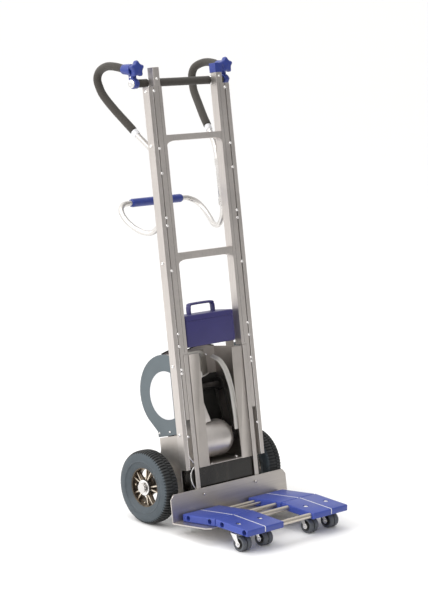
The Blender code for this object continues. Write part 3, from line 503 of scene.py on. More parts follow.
def top_bar():
    """Foam-sleeved crossbar with bright end discs."""
    bar_high = box_in(LEAN_SPACE, "top_bar")[1]
    grip_low, grip_high = box_in(LEAN_SPACE, "top_bar_grip")
    y = (grip_low.y + grip_high.y) / 2
    z = (grip_low.z + grip_high.z) / 2
    coat("top_bar", STEEL, 0.0)
    half = grip_high.x
    path = [Vector((x, y, z)) for x in (-half, -half * 0.6, 0, half * 0.6, half)]
    path, radii = rounded_ends(path, GRIP_RADIUS, 0.0025)
    lugs = [moved(lathe("lug", [(0, -0.03), (0.0068, -0.03), (0.0068, 0), (0, 0)], 24), at((s * 0.1407, y,
                                                                                            z), "Y"))
            for side, s in SIDES]
    foam = carved("foam", sweep("foam", path, radii, 28), lugs)
    sleeve = piece("top_bar_foam", foam, FOAM, "handles", LEAN_SPACE, ("top_bar_grip",))
    discs = []
    for side, s in SIDES:
        face = [(0, 0), (0.0142, 0), (0.0146, 0.0015), (0.0140, 0.0038), (0.0120, 0.0046), (0.0060, 0.0050),
                (0.0050, 0.0042), (0, 0.0042)]
        discs.append((lathe("disc", face, 36), at((s * (bar_high.x - 0.0035), y, z), "X" if s > 0 else "-X")))
        saddle = [(0.0148, -0.010), (0.0158, -0.009), (0.0158, 0.009), (0.0148, 0.010), (0.0139, 0.010),
                  (0.0139, -0.010)]
        discs.append((lathe("saddle", saddle, 36, closed=True), at((s * 0.1407, y, z), "X")))
    piece("top_bar_fittings", joined("fittings", discs), BRIGHT, "handles", LEAN_SPACE)


def handle_joints():
    """Moulded clamp bodies with rounded webs, blended into one skin."""
    for side, s in SIDES:
        low, high = box_in(LEAN_SPACE, side + "_handle_joint")
        bar_y = -0.0855
        bar_z = 1.342
        collar_z = 1.3885
        middle = (low.x + high.x) / 2 - s * 0.0075
        web = block("web", (middle - 0.0100, -0.0900, bar_z), (middle + 0.0100, -0.0695, collar_z + 0.006),
                    0.003)
        ring = moved(lathe("ring", [(0, -0.0100), (0.0160, -0.0100), (0.0175, -0.0082), (0.0175, 0.0082),
                                    (0.0160, 0.0100), (0, 0.0100)], 40), at((middle, bar_y, bar_z), "X"))
        start, after = Vector((s * 0.2095, -0.0895, 1.3880)), Vector((s * 0.2125, -0.0480, 1.3935))
        along = (after - start).normalized()
        path = [start, start + along * 0.002, start + along * 0.016, start + along * 0.036,
                start + along * 0.041]
        collar = sweep("collar", path, [0.0172, 0.0186, 0.0184, 0.0172, 0.0160], 40)
        base = bpy.data.objects.new("clamp", joined("clamp", [(web, WORLD), (ring, WORLD), (collar, WORLD)]))
        bpy.context.scene.collection.objects.link(base)
        skin = base.modifiers.new("skin", "REMESH")
        skin.mode = "VOXEL"
        skin.voxel_size = 0.0011
        soft = base.modifiers.new("soft", "SMOOTH")
        soft.factor = 0.6
        soft.iterations = 6
        body = applied(base)
        bores = [moved(lathe("bore", [(0, -0.03), (0.0108, -0.03), (0.0108, 0.03), (0, 0.03)], 32),
                       at((middle, bar_y, bar_z), "X"))]
        grip = smooth_path([(s * x, y, z) for x, y, z in HOOP_ROUTE[:4]], 6)
        grip[0] = grip[0] + (grip[0] - grip[1]) * 0.2
        bores.append(sweep("bore", grip, GRIP_RADIUS + 0.0003, 28))
        clamp = carved("clamp", body, bores, angle=50)
        piece(side + "_handle_clamp", clamp, BLUE, "handles", LEAN_SPACE,
              (side + "_handle_joint",))
        stud = [(cap_screw(0.0036, 0.0022), at((middle + s * 0.0098, -0.0800, 1.3640),
                                               "X" if s > 0 else "-X"))]
        piece(side + "_clamp_screw", joined("stud", stud), BRIGHT, "handles", LEAN_SPACE)


def star_knobs():
    """Five-lobed clamp knobs with a raised boss and a waisted neck."""
    for side, s in SIDES:
        low = box_in(LEAN_SPACE, side + "_clamp_knob")[0]
        turns = 120
        levels = ((0.0000, 0.0100), (0.0008, 0.0040), (0.0026, 0.0012), (0.0060, 0.0), (0.0140, 0.0004),
                  (0.0175, 0.0016), (0.0193, 0.0040), (0.0200, 0.0095))
        cage = bmesh.new()
        rings = []
        for depth, inset in levels:
            ring = []
            for k in range(turns):
                angle = 2 * math.pi * k / turns
                lobe = math.cos(5 * angle)
                radius = 0.0243 + 0.0036 * lobe + 0.0006 * math.cos(10 * angle) - inset
                ring.append(cage.verts.new((radius * math.cos(angle), radius * math.sin(angle), -depth)))
            rings.append(ring)
        for near, far in zip(rings, rings[1:]):
            for k in range(turns):
                cage.faces.new((near[k], near[(k + 1) % turns], far[(k + 1) % turns], far[k]))
        cage.faces.new(rings[0])
        cage.faces.new(rings[-1][::-1])
        head = to_mesh(cage, "knob", 50)
        boss = lathe("boss", [(0, 0.0011), (0.0060, 0.0009), (0.0092, 0.0001), (0.0100, -0.0020), (0,
                                                                                                   -0.0020)],
                     32)
        mesh = joined("knob", [(head, WORLD), (boss, WORLD)], 50)
        centre = (s * 0.2005, low.y, 1.3885)
        piece(side + "_star_knob", mesh, BLUE, side + "_knob", LEAN_SPACE @ at(centre, "-Y"),
              (side + "_clamp_knob",))


BOW_ROUTE = (
    (0.1180, 0.0960, 0.9500), (0.1480, 0.0950, 0.9470), (0.1740, 0.0810, 0.9310), (0.1830, 0.0580, 0.9040),
    (0.1780, 0.0280, 0.8740), (0.1630, -0.0060, 0.8500), (0.1510, -0.0420, 0.8460), (0.1430, -0.0720, 0.8680),
    (0.1370, -0.0880, 0.9000), (0.1340, -0.0893, 0.9240),
)


def rear_bow():
    """Bent steel bow with a moulded grip."""
    half = smooth_path(BOW_ROUTE, 6)
    path = [Vector((-p.x, p.y, p.z)) for p in reversed(half)] + half
    path, radii = rounded_ends(path, 0.0092, 0.0015)
    piece("bow_steel", sweep("bow", path, radii, 24), STEEL, "frame", LEAN_SPACE, ("bow_tube",))
    ribs = []
    length = 0.114
    for i in range(41):
        x = -length + 2 * length * i / 40
        edge = min(1.0, (length - abs(x)) / 0.004)
        ribs.append((Vector((x, 0.096, 0.950)), 0.0128 + 0.0016 * edge + (0.0004 if i % 2 else 0.0)))
    grip = sweep("grip", [p for p, r in ribs], [r for p, r in ribs], 36)
    piece("bow_handgrip", grip, BLUE, "frame", LEAN_SPACE, ("bow_grip",))


# ---- battery ----------------------------------------------------------------------------------------
def battery():
    """Battery case with a parting line and an arched carry handle."""
    low, high = box_in(LEAN_SPACE, "battery")
    top = high.z - 0.038
    case = block("case", low, (high.x, high.y, top), 0.0055, 4)
    split = block("split", (low.x - 0.01, low.y - 0.01, top - 0.0192), (high.x + 0.01, high.y + 0.01,
                                                                        top - 0.0180),
                  0.0003, 1)
    inner = block("inner", (low.x + 0.0015, low.y + 0.0015, low.z + 0.002), (high.x - 0.0015, high.y - 0.0015,
                  top - 0.002), 0.004, 2)
    case = carved("case", case, [split])
    route = ((-0.0560, 0, -0.006), (-0.0560, 0, 0.018), (-0.0535, 0, 0.028), (-0.044, 0, 0.0338), (0.042, 0,
                                                                                                   0.0338),
             (0.0515, 0, 0.028), (0.0540, 0, 0.018), (0.0540, 0, -0.006))
    path = smooth_path(route, 5)
    strap = sweep("strap", path, 0.0046, 20)
    wide = Matrix.Diagonal((1, 2.5, 1, 1))
    handle = joined("handle", [(strap, Matrix.Translation((0, -0.078, top)) @ wide)], 50)
    mesh = joined("battery", [(case, WORLD), (inner, WORLD), (handle, WORLD)])
    piece("battery_case", mesh, BATTERY_BLUE, "battery_pack", LEAN_SPACE, ("battery",))


# ---- drive ------------------------------------------------------------------------------------------
def drive():
    """Motor, castings, guard strap and a black sheet that paints the shade inside the open-fronted housing."""
    coat("drive_housing", SHEET, 0.0006)
    coat("lower_cover", GLOSS_BLACK, 0.0012)
    for node in ("crankshaft", "drive_sprocket", "left_climbing_leg", "right_climbing_leg"):
        coat(node, DARK_STEEL)
    low, high = box_in(LEAN_SPACE, "motor")
    radius = (high.z - low.z) / 2
    centre = Vector((0, (low.y + high.y) / 2, (low.z + high.z) / 2))
    right, left = high.x, low.x
    profile = [(0, left), (0.030, left + 0.0004), (0.052, left + 0.004), (radius - 0.003, left + 0.010)]
    profile += [(radius - 0.0002, left + 0.016), (radius, 0.0), (radius - 0.0012, 0.0006), (radius - 0.0012,
                                                                                            0.0018)]
    for i in range(15):
        angle = math.radians(6 * i)
        profile.append(((radius - 0.0004) * math.cos(angle), 0.034 + (right - 0.034) * math.sin(angle)))
    can = lathe("motor", profile, 96, angle=50)
    studs = [(can, WORLD)]
    for turn in (20, 140, 260):
        a = math.radians(turn)
        spot = Vector((0.0440 * math.cos(a), 0.0440 * math.sin(a), right - 0.0175))
        studs.append((cap_screw(0.0042, 0.0055), Matrix.Translation(spot)))
    piece("motor_can", joined("motor", studs, 50), MOTOR, "frame", LEAN_SPACE @ at(centre, "X"),
          ("motor",))
    corner = [(cap_screw(0.0048, 0.0034), at((0.0635, -0.1150, RAIL_LOW + 0.0085), "-Y")),
              (cap_screw(0.0040, 0.0026), at((-0.0600, RAIL_FRONT + 0.006, RAIL_LOW + 0.0036))),
              (cap_screw(0.0040, 0.0026), at((0.0700, -0.004, 0.405), "-Y"))]
    piece("housing_screws", joined("screws", corner), BRIGHT, "frame", LEAN_SPACE)
    # black sheet at the back of the bay: painted shade for the dark inside of the aluminium housing
    shade_sheet = block("shade_sheet", (-0.1165, 0.0020, 0.0600), (0.1165, 0.0062, 0.3390), 0.0012, 2)
    piece("bay_shade_sheet", shade_sheet, BLACK, "frame", LEAN_SPACE)
    upper_casting()
    guard_strap()
    chain()


CASTING_FACE = (
    (-0.1165, -0.0980, 0), (-0.0790, -0.1040, 0), (-0.0450, -0.0950, 0), (-0.0100, -0.0740, 0), (0.0220,
                                                                                                 -0.0500, 0),
    (0.0500, -0.0260, 0), (0.0700, 0.0035, 0),
)


def upper_casting():
    """Fluted casting over the crankshaft with a bright rib, a boss and a gusset under it."""
    low = box_in(LEAN_SPACE, "upper_casting")[0]
    face = smooth_path(CASTING_FACE, 14)
    outward = []
    for i, point in enumerate(face):
        along = (face[min(i + 1, len(face) - 1)] - face[max(i - 1, 0)]).normalized()
        outward.append(Vector((along.y, -along.x, 0)))
    levels = ((0.0, 0.0), (0.020, 0.0), (0.045, 0.0004), (0.060, 0.0020), (0.070, 0.0055), (0.0765, 0.0110),
              (0.0800, 0.0190), (0.0810, 0.0300))
    cage = bmesh.new()
    rows = []
    for height, inset in levels:
        row = []
        for i, (point, out) in enumerate(zip(face, outward)):
            flute = 0.0007 * (math.cos(i * 0.9) - 1) * min(1.0, height / 0.02)
            spot = point + out * (flute - inset)
            row.append(cage.verts.new((min(spot.x, 0.0700), min(spot.y, 0.0035), low.z + height)))
        row.append(cage.verts.new((0.0690, 0.0060, low.z + height)))
        row.append(cage.verts.new((-0.1165, 0.0060, low.z + height)))
        rows.append(row)
    count = len(rows[0])
    for lower, upper in zip(rows, rows[1:]):
        for k in range(count):
            cage.faces.new((lower[k], lower[(k + 1) % count], upper[(k + 1) % count], upper[k]))
    cage.faces.new(rows[0][::-1])
    cage.faces.new(rows[-1])
    piece("fluted_casting", to_mesh(cage, "casting", 40), CASTING, "frame", LEAN_SPACE,
          ("upper_casting",))
    rib = [point + out * 0.0026 + Vector((0, 0, low.z + 0.0012)) for point, out in zip(face, outward)
           if -0.080 < point.x < 0.058]
    path, radii = rounded_ends(rib, 0.0021, 0.0006)
    parts = [(sweep("rib", path, radii, 12), WORLD)]
    boss = [(0, 0.0045), (0.0080, 0.0045), (0.0090, 0.0035), (0.0120, 0.0035), (0.0160, 0.0), (0.0165,
                                                                                               -0.016),
            (0, -0.016)]
    parts.append((lathe("boss", boss, 40), at((-0.0600, -0.1035, low.z + 0.0090), "-Y")))
    piece("casting_rib", joined("rib", parts), STRAP, "frame", LEAN_SPACE)
    neck = [(0, 0.0), (0.0150, 0.0), (0.0185, -0.006), (0.0185, -0.026), (0.0130, -0.036), (0.0, -0.038)]
    piece("casting_neck", lathe("neck", neck, 36), CASTING, "frame",
          LEAN_SPACE @ at((-0.0500, -0.0760, low.z + 0.0010)))
    outline = [(-0.0700, 0.1840), (-0.0180, 0.1900), (-0.0450, 0.2640), (-0.0700, 0.2640)]
    gusset = plate("gusset", [outline], 0.004, 0.0008)
    piece("motor_gusset", moved(gusset, FRONT_VIEW), MOTOR, "frame", LEAN_SPACE @ Matrix.Translation((0,
                                                                                                      -0.0930, 0)))


STRAP_ROUTE = (
    (0.0350, -0.0700, 0.4060), (0.0480, -0.0900, 0.3900), (0.0580, -0.1040, 0.3620), (0.0640, -0.1130,
                                                                                      0.3250),
    (0.0680, -0.1190, 0.2850), (0.0700, -0.1215, 0.2400), (0.0715, -0.1230, 0.1900), (0.0720, -0.1235,
                                                                                      0.1500),
)


def guard_strap():
    """Flat curved strap in front of the chain, with a folded edge and a hooked top."""
    path = smooth_path(STRAP_ROUTE, 6)
    half = 0.0105
    cage = bmesh.new()
    rows = []
    for i, point in enumerate(path):
        along = (path[min(i + 1, len(path) - 1)] - path[max(i - 1, 0)]).normalized()
        across = Vector((1, 0, 0))
        across = (across - along * across.dot(along)).normalized()
        normal = across.cross(along)
        row = []
        for a, b in ((-half, -0.0016), (-half, 0.0016), (-half + 0.002, 0.0020), (half - 0.004, 0.0020),
                     (half - 0.0030, 0.0034), (half - 0.0006, 0.0034), (half, 0.0026), (half, -0.0016)):
            row.append(cage.verts.new(point + across * a - normal * b))
        rows.append(row)
    for lower, upper in zip(rows, rows[1:]):
        for k in range(8):
            cage.faces.new((lower[k], lower[(k + 1) % 8], upper[(k + 1) % 8], upper[k]))
    cage.faces.new(rows[0][::-1])
    cage.faces.new(rows[-1])
    piece("guard_strap", to_mesh(cage, "strap", 40), STRAP, "frame", LEAN_SPACE)


CHAIN_PITCH = 0.0127
SHAFT_SPOT = (0, -0.018, 0.300)
SHAFT_SPROCKET = 0.0215


def chain():
    """Roller chain between the motor's sprocket and the crankshaft's, as linked plates and rollers."""
    small_low, small_high = box_in(LEAN_SPACE, "drive_sprocket")
    x = small_high.x - 0.0065
    small = Vector((0, (small_low.y + small_high.y) / 2, (small_low.z + small_high.z) / 2))
    large = Vector(SHAFT_SPOT)
    small_radius = (small_high.z - small_low.z) / 2 + 0.0012
    large_radius = SHAFT_SPROCKET + 0.0012
    line = large - small
    gap = line.length
    base = math.atan2(line.z, line.y)
    lean_in = math.acos((small_radius - large_radius) / gap)
    points = []
    for centre, radius, start, end in ((large, large_radius, base + lean_in, base - lean_in),
                                       (small, small_radius, base - lean_in, base + lean_in - 2 * math.pi)):
        for i in range(25):
            a = start + (end - start) * i / 24
            points.append(centre + Vector((0, math.cos(a), math.sin(a))) * radius)
    points.append(points[0])
    lengths = [(b - a).length for a, b in zip(points, points[1:])]
    total = sum(lengths)
    links = 2 * round(total / CHAIN_PITCH)
    pitch = total / links
    spots = []
    travelled = 0.0
    place = 0
    for k in range(links):
        want = k * pitch
        while travelled + lengths[place] < want:
            travelled += lengths[place]
            place += 1
        share = (want - travelled) / lengths[place]
        spots.append(points[place].lerp(points[place + 1], share))
    parts = []
    roller = lathe("roller", [(0, -0.0042), (0.0019, -0.0042), (0.0019, 0.0042), (0, 0.0042)], 10)
    for k, spot in enumerate(spots):
        after = spots[(k + 1) % links]
        along = after - spot
        parts.append((roller, at((x, spot.y, spot.z), "X")))
        middle = (spot + after) / 2
        reach = along.length / 2 + 0.0022
        side_plate = block("link", (-reach, -0.0022, -0.0004), (reach, 0.0022, 0.0004), 0.0003, 1)
        turn = Matrix.Rotation(math.atan2(along.z, along.y), 4, "X") @ TURN["X"]
        for out in (-1, 1):
            offset = (0.0031 if k % 2 else 0.0040) * out
            parts.append((side_plate, Matrix.Translation((x + offset, middle.y, middle.z)) @ turn))
    piece("drive_chain", joined("chain", parts, 40), DARK_STEEL, "frame", LEAN_SPACE)


def crest_trim():
    """Black edging over the wavy top of the housing's back."""
    wide = 0.1208
    high = box_in(LEAN_SPACE, "drive_housing")[1]
    path = []
    for i in range(49):
        x = wide - 2 * wide * i / 48
        path.append(Vector((x, high.y - 0.0015, 0.4315 + 0.010 * abs(math.sin(math.pi * x / wide)))))
    path, radii = rounded_ends(path, 0.0022, 0.0006)
    piece("crest_edging", sweep("edging", path, radii, 12), BLACK, "frame", LEAN_SPACE)


def covers():
    """Round drive covers with a stepped foot and a plain white disc, and the plates below them."""
    for side, s in SIDES:
        low, high = box_in(LEAN_SPACE, side + "_drive_cover")
        outward = "X" if s > 0 else "-X"
        coat(side + "_drive_cover", GREY, 0.0012)
        coat(side + "_side_plate", SHEET, 0.0006)
        coat(side + "_stub_axle", STEEL, 0.0)
        face = high.x if s > 0 else low.x
        disc = plate("label", [[(y, z) for y, z in circle(0.082, (0, 0), 96) if y > -0.0340]], 0.0010, 0.0003)
        centre = (face + s * 0.0004, -0.065, 0.300)
        piece(side + "_cover_disc", moved(disc, SIDE_VIEW), WHITE, "frame",
              LEAN_SPACE @ Matrix.Translation(centre))
        screws = [(cap_screw(0.0042, 0.0028), at((face, y, z), outward)) for y, z in ((-0.012, 0.171),
                                                                                      (-0.066, 0.177))]
        piece(side + "_cover_screws", joined("screws", screws), BRIGHT, "frame", LEAN_SPACE)


# ---- main wheels --------------------------------------------------------------------------------------
def tyre_mesh(radius, half, inner):
    """Solid tyre: dished side, ridged shoulder and two rows of staggered tread blocks."""
    pitch = 72
    per_block = 6
    turns = pitch * per_block
    side_profile = [(inner + 0.0003, -half + 0.0200), (inner - 0.0090, -half + 0.0120), (inner - 0.0075,
                                                                                         -half + 0.0105),
                    (inner + 0.0060, -half + 0.0062), (inner + 0.0105, -half + 0.0034),
                    (inner + 0.0120, -half + 0.0012), (inner + 0.0140, -half + 0.0006),
                    (inner + 0.0158, -half + 0.0018), (inner + 0.0220, -half + 0.0014),
                    (inner + 0.0320, -half + 0.0022), (inner + 0.0375, -half + 0.0040)]
    crown = [(radius - 0.0072, -half + 0.0068), (radius - 0.0036, -half + 0.0105), (radius - 0.0012,
                                                                                    -half + 0.0160),
             (radius - 0.0002, -0.0090), (radius, -0.0050), (radius, -0.0016), (radius - 0.0035, -0.0010),
             (radius - 0.0035, 0.0010)]
    mirrored = [(r, -x) for r, x in reversed(side_profile + crown[:-1])]
    profile = side_profile + crown + mirrored
    cage = bmesh.new()
    rings = []
    for k in range(turns):
        angle = 2 * math.pi * k / turns
        ring = []
        for r, x in profile:
            deep = 0.0
            if abs(x) > 0.0014 and r > radius - 0.0078:
                offset = 0 if x < 0 else per_block // 2
                if (k + offset) % per_block in (0, 1):
                    deep = 0.0046 if abs(x) > 0.0085 else 0.0030
            ring.append(cage.verts.new(((r - deep) * math.cos(angle), (r - deep) * math.sin(angle), x)))
        rings.append(ring)
    count = len(profile)
    for k in range(turns):
        here, after = rings[k], rings[(k + 1) % turns]
        for i in range(count - 1):
            cage.faces.new((here[i], after[i], after[i + 1], here[i + 1]))
        cage.faces.new((here[count - 1], after[count - 1], after[0], here[0]))
    return to_mesh(cage, "tyre", 28)


def spoke_mesh(inner, outer, tilt, top, deep):
    """One thin spoke between two radii, leaning sideways by a tilt at the rim."""
    cage = bmesh.new()
    corners = []
    for radius, angle, width, drop in ((inner, 0.0, 0.0026, 0.0), (outer, tilt, 0.0019, 0.003)):
        centre = Vector((radius * math.cos(angle), radius * math.sin(angle), 0))
        across = Vector((-math.sin(angle), math.cos(angle), 0)) * width
        corners.append([cage.verts.new(centre + across * a + Vector((0, 0, top - drop - b * deep)))
                        for a, b in ((-1, 0), (1, 0), (1, 1), (-1, 1))])
    low, high = corners
    for k in range(4):
        cage.faces.new((low[k], low[(k + 1) % 4], high[(k + 1) % 4], high[k]))
    cage.faces.new(low[::-1])
    cage.faces.new(high)
    bmesh.ops.recalc_face_normals(cage, faces=cage.faces)
    bmesh.ops.bevel(cage, geom=cage.edges[:], offset=0.0005, segments=2, profile=0.5, affect="EDGES")
    return to_mesh(cage, "spoke", 35)


def main_wheels():
    """Treaded tyres on dished rims with five double spokes and a ringed hub."""
    for side, s in SIDES:
        low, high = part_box(side + "_tyre")
        radius = (high.z - low.z) / 2
        half = (high.x - low.x) / 2
        inner = 0.0755
        centre = (low + high) / 2
        stand = Matrix.Translation(centre) @ TURN["X" if s > 0 else "-X"]
        tyre = piece(side + "_treaded_tyre", tyre_mesh(radius, half, inner), RUBBER, side + "_wheel", stand,
                     (side + "_tyre",))
        tyre.data.materials.append(SIDEWALL)
        for polygon in tyre.data.polygons:
            middle = polygon.center
            if math.hypot(middle.x, middle.y) < radius - 0.0092:
                polygon.material_index = 1
        shell = [(inner - 0.0092, half - 0.0125), (inner - 0.0110, half - 0.0125), (inner - 0.0122,
                                                                                    half - 0.0150),
                 (inner - 0.0130, half - 0.0230), (inner - 0.0130, -half + 0.0230), (inner - 0.0122,
                                                                                     -half + 0.0150),
                 (inner - 0.0110, -half + 0.0125), (inner - 0.0092, -half + 0.0125), (inner - 0.0085,
                                                                                      -half + 0.0140),
                 (inner, -half + 0.0205), (inner, half - 0.0205), (inner - 0.0085, half - 0.0140)]
        parts = [(lathe("barrel", shell, 96, closed=True), WORLD)]
        web = plate("web", [circle(inner - 0.0110, count=72), circle(0.0235, count=48)], 0.003, 0.0005)
        windows = []
        for i in range(5):
            for start, end in ((72 * i + 22, 72 * i + 61), (72 * i + 0.5, 72 * i + 10.5)):
                outline = arc((0, 0), 0.0590, start, end, 8) + arc((0, 0), 0.0340, end - 3, start + 3, 8)
                windows.append(plate("window", [outline], 0.02, 0.0005))
        web = carved("web", web, windows)
        parts.append((web, Matrix.Translation((0, 0, 0.004))))
        piece(side + "_dished_rim", joined("rim", parts), RIM, side + "_wheel", stand,
              (side + "_rim",))
        edges = []
        for i in range(5):
            for lean_out in (-1, 1):
                spoke = spoke_mesh(0.0240, inner - 0.0122, lean_out * math.radians(3), half - 0.0150, 0.0075)
                edges.append((spoke, Matrix.Rotation(math.radians(72 * i + 5.5 + lean_out * 8), 4, "Z")))
            bolt = math.radians(72 * i + 5.5 + 36)
            spot = ((inner - 0.0150) * math.cos(bolt), (inner - 0.0150) * math.sin(bolt), 0.0055)
            edges.append((cap_screw(0.0040, 0.0035), Matrix.Translation(spot)))
        piece(side + "_spoke_edges", joined("spokes", edges), SPOKE, side + "_wheel", stand)
        hub = [(0.0103, -0.0225), (0.0103, 0.0225), (0.0268, 0.0225), (0.0275, 0.0215), (0.0275, 0.0150),
               (0.0240, 0.0090), (0.0240, -0.0090), (0.0275, -0.0150), (0.0275, -0.0225)]
        piece(side + "_hub_barrel", lathe("hub", hub, 64, closed=True), DARK_STEEL, side + "_wheel", stand)
        ring = [(0.0104, 0.0236), (0.0128, 0.0236), (0.0132, 0.0226), (0.0150, 0.0226), (0.0156, 0.0244),
                (0.0186, 0.0244), (0.0192, 0.0226), (0.0226, 0.0226), (0.0232, 0.0244), (0.0262, 0.0241),
                (0.0270, 0.0224), (0.0270, 0.0210), (0.0104, 0.0210)]
        piece(side + "_hub_ring", lathe("ring", ring, 64, closed=True), BRIGHT, side + "_wheel", stand)


# ---- toe plate and deck ---------------------------------------------------------------------------------
def toe_plate():
    """Bent aluminium plate with its bolts."""
    coat("toe_plate", TOE_SHEET, 0.0008)
    bolts = [(cap_screw(0.0042, 0.0024), at((s * 0.120, TOE_WALL_Y - 0.0040, -0.040), "-Y")) for side,
             s in SIDES]
    piece("toe_plate_bolts", joined("bolts", bolts), STEEL, "frame", LEAN_SPACE)


STRIPE_X = 0.1537


def stripe(points, width, thickness):
    """Inlaid strip in the (y, z) plane: a band of a width that follows the points."""
    cage = bmesh.new()
    rows = []
    for i, point in enumerate(points):
        before = Vector(points[max(i - 1, 0)])
        after = Vector(points[min(i + 1, len(points) - 1)])
        direction = (after - before).normalized()
        normal = Vector((direction.y, -direction.x))
        outer = Vector(point) + normal * thickness
        rows.append([cage.verts.new((x, p.x, p.y)) for x, p in ((-width / 2, Vector(point)), (width / 2,
                                                                                              Vector(point)),
                                                                (width / 2, outer), (-width / 2, outer))])
    for low, high in zip(rows, rows[1:]):
        for k in range(4):
            cage.faces.new((low[k], low[(k + 1) % 4], high[(k + 1) % 4], high[k]))
    cage.faces.new(rows[0][::-1])
    cage.faces.new(rows[-1])
    return to_mesh(cage, "stripe", 30)


def pads():
    """Moulded deck pads with bored sides, an inlaid white stripe and recessed caster bolts."""
    for side, s in SIDES:
        low, high = box_in(TOE_SPACE, side + "_rear_pad")
        bores = []
        for rod in ("rear_rod", "middle_rod"):
            rod_low, rod_high = box_in(TOE_SPACE, rod)
            centre = (rod_low + rod_high) / 2
            radius = (rod_high.z - rod_low.z) / 2 + 0.0004
            profile = [(0, -0.1), (radius, -0.1), (radius, 0.1), (0, 0.1)]
            bores.append(moved(lathe("bore", profile, 32), at((s * 0.150, centre.y, centre.z), "X")))
            outer = high.x if s > 0 else low.x
            mouth = [(0, -0.0090), (0.0078, -0.0090), (0.0084, -0.0060), (0.0088, 0.004), (0, 0.004)]
            bores.append(moved(lathe("mouth", mouth, 32), at((outer, centre.y, centre.z),
                                                             "X" if s > 0 else "-X")))
        rear = carved("rear", block("rear", low, high, 0.0035, 3), bores)
        piece(side + "_deck_rear", rear, PAD_BLUE, "frame", TOE_SPACE, (side + "_rear_pad",))
        band = [(low.y + 0.0005, high.z - 0.004), (low.y + 0.0012, high.z - 0.0012), (low.y + 0.004,
                                                                                      high.z - 0.0002),
                (high.y - 0.004, high.z - 0.0002), (high.y - 0.0012, high.z - 0.0012), (high.y - 0.0005,
                                                                                        high.z - 0.004)]
        line = stripe([(y, z) for y, z in reversed(band)], 0.0034, 0.0006)
        piece(side + "_rear_stripe", line, WHITE, "frame", TOE_SPACE @ Matrix.Translation((s * STRIPE_X, 0,
                                                                                           0)))
        front_pad(side, s)


def front_pad(side, s):
    """Front pad: its top falls slightly towards the front edge."""
    low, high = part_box(side + "_front_pad")
    cage = bmesh.new()
    bmesh.ops.create_cube(cage, size=1.0)
    bmesh.ops.scale(cage, vec=high - low, verts=cage.verts)
    bmesh.ops.translate(cage, vec=(low + high) / 2, verts=cage.verts)
    for vertex in cage.verts:
        if vertex.co.z > (low.z + high.z) / 2 and vertex.co.y < (low.y + high.y) / 2:
            vertex.co.z -= 0.003
    bmesh.ops.bevel(cage, geom=cage.edges[:], offset=0.0035, segments=3, profile=0.5, affect="EDGES")
    pad = to_mesh(cage, "front", 35)
    cutters = []
    for rod in ("hinge_rod", "front_rod"):
        rod_low, rod_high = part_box(rod)
        centre = (rod_low + rod_high) / 2
        radius = (rod_high.z - rod_low.z) / 2 + 0.0004
        profile = [(0, -0.1), (radius, -0.1), (radius, 0.1), (0, 0.1)]
        cutters.append(moved(lathe("bore", profile, 32), at((s * 0.150, centre.y, centre.z), "X")))
    for place in ("inner", "outer"):
        stem = Vector(joints[f"{side}_{place}_caster_swivel"]["pos_m"])
        recess = [(0, -0.06), (0.0052, -0.06), (0.0052, -0.0040), (0.0090, -0.0040), (0.0112, 0.0030), (0,
                                                                                                        0.0030)]
        cutters.append(moved(lathe("recess", recess, 32), at((stem.x, stem.y, high.z - 0.0015))))
    pad = carved("front", pad, cutters)
    piece(side + "_deck_front", pad, PAD_BLUE, "front_deck", WORLD, (side + "_front_pad",))
    front = [(low.y - 0.0002, low.z + 0.004), (low.y - 0.0002, high.z - 0.0065), (low.y + 0.0008,
                                                                                  high.z - 0.0042),
             (low.y + 0.0035, high.z - 0.0031), (high.y - 0.0035, high.z - 0.0002), (high.y - 0.0010,
                                                                                     high.z - 0.0012)]
    line = stripe(front[::-1], 0.0034, 0.0006)
    piece(side + "_front_stripe", line, WHITE, "front_deck", Matrix.Translation((s * STRIPE_X, 0, 0)))


def rods():
    """Cross rods of the deck, and the thin brace between the rear pads."""
    for rod, body in (("rear_rod", "frame"), ("middle_rod", "frame"), ("hinge_rod", "front_deck"),
                      ("front_rod", "front_deck")):
        low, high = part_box(rod)
        centre = (low + high) / 2
        half = (high.x - low.x) / 2
        radius = (high.z - low.z) / 2
        profile = [(0, -half), (radius - 0.001, -half), (radius, -half + 0.001), (radius, half - 0.001),
                   (radius - 0.001, half), (0, half)]
        piece(rod + "_bar", lathe("rod", profile, 40), ROD, body, at(centre, "X"), (rod,))
    profile = [(0, -0.0676), (0.0040, -0.0676), (0.0040, 0.0676), (0, 0.0676)]
    centre = (0, -0.0690, 0.0150)
    piece("thin_brace", lathe("brace", profile, 28), ROD, "frame", TOE_SPACE @ at(centre, "X"))


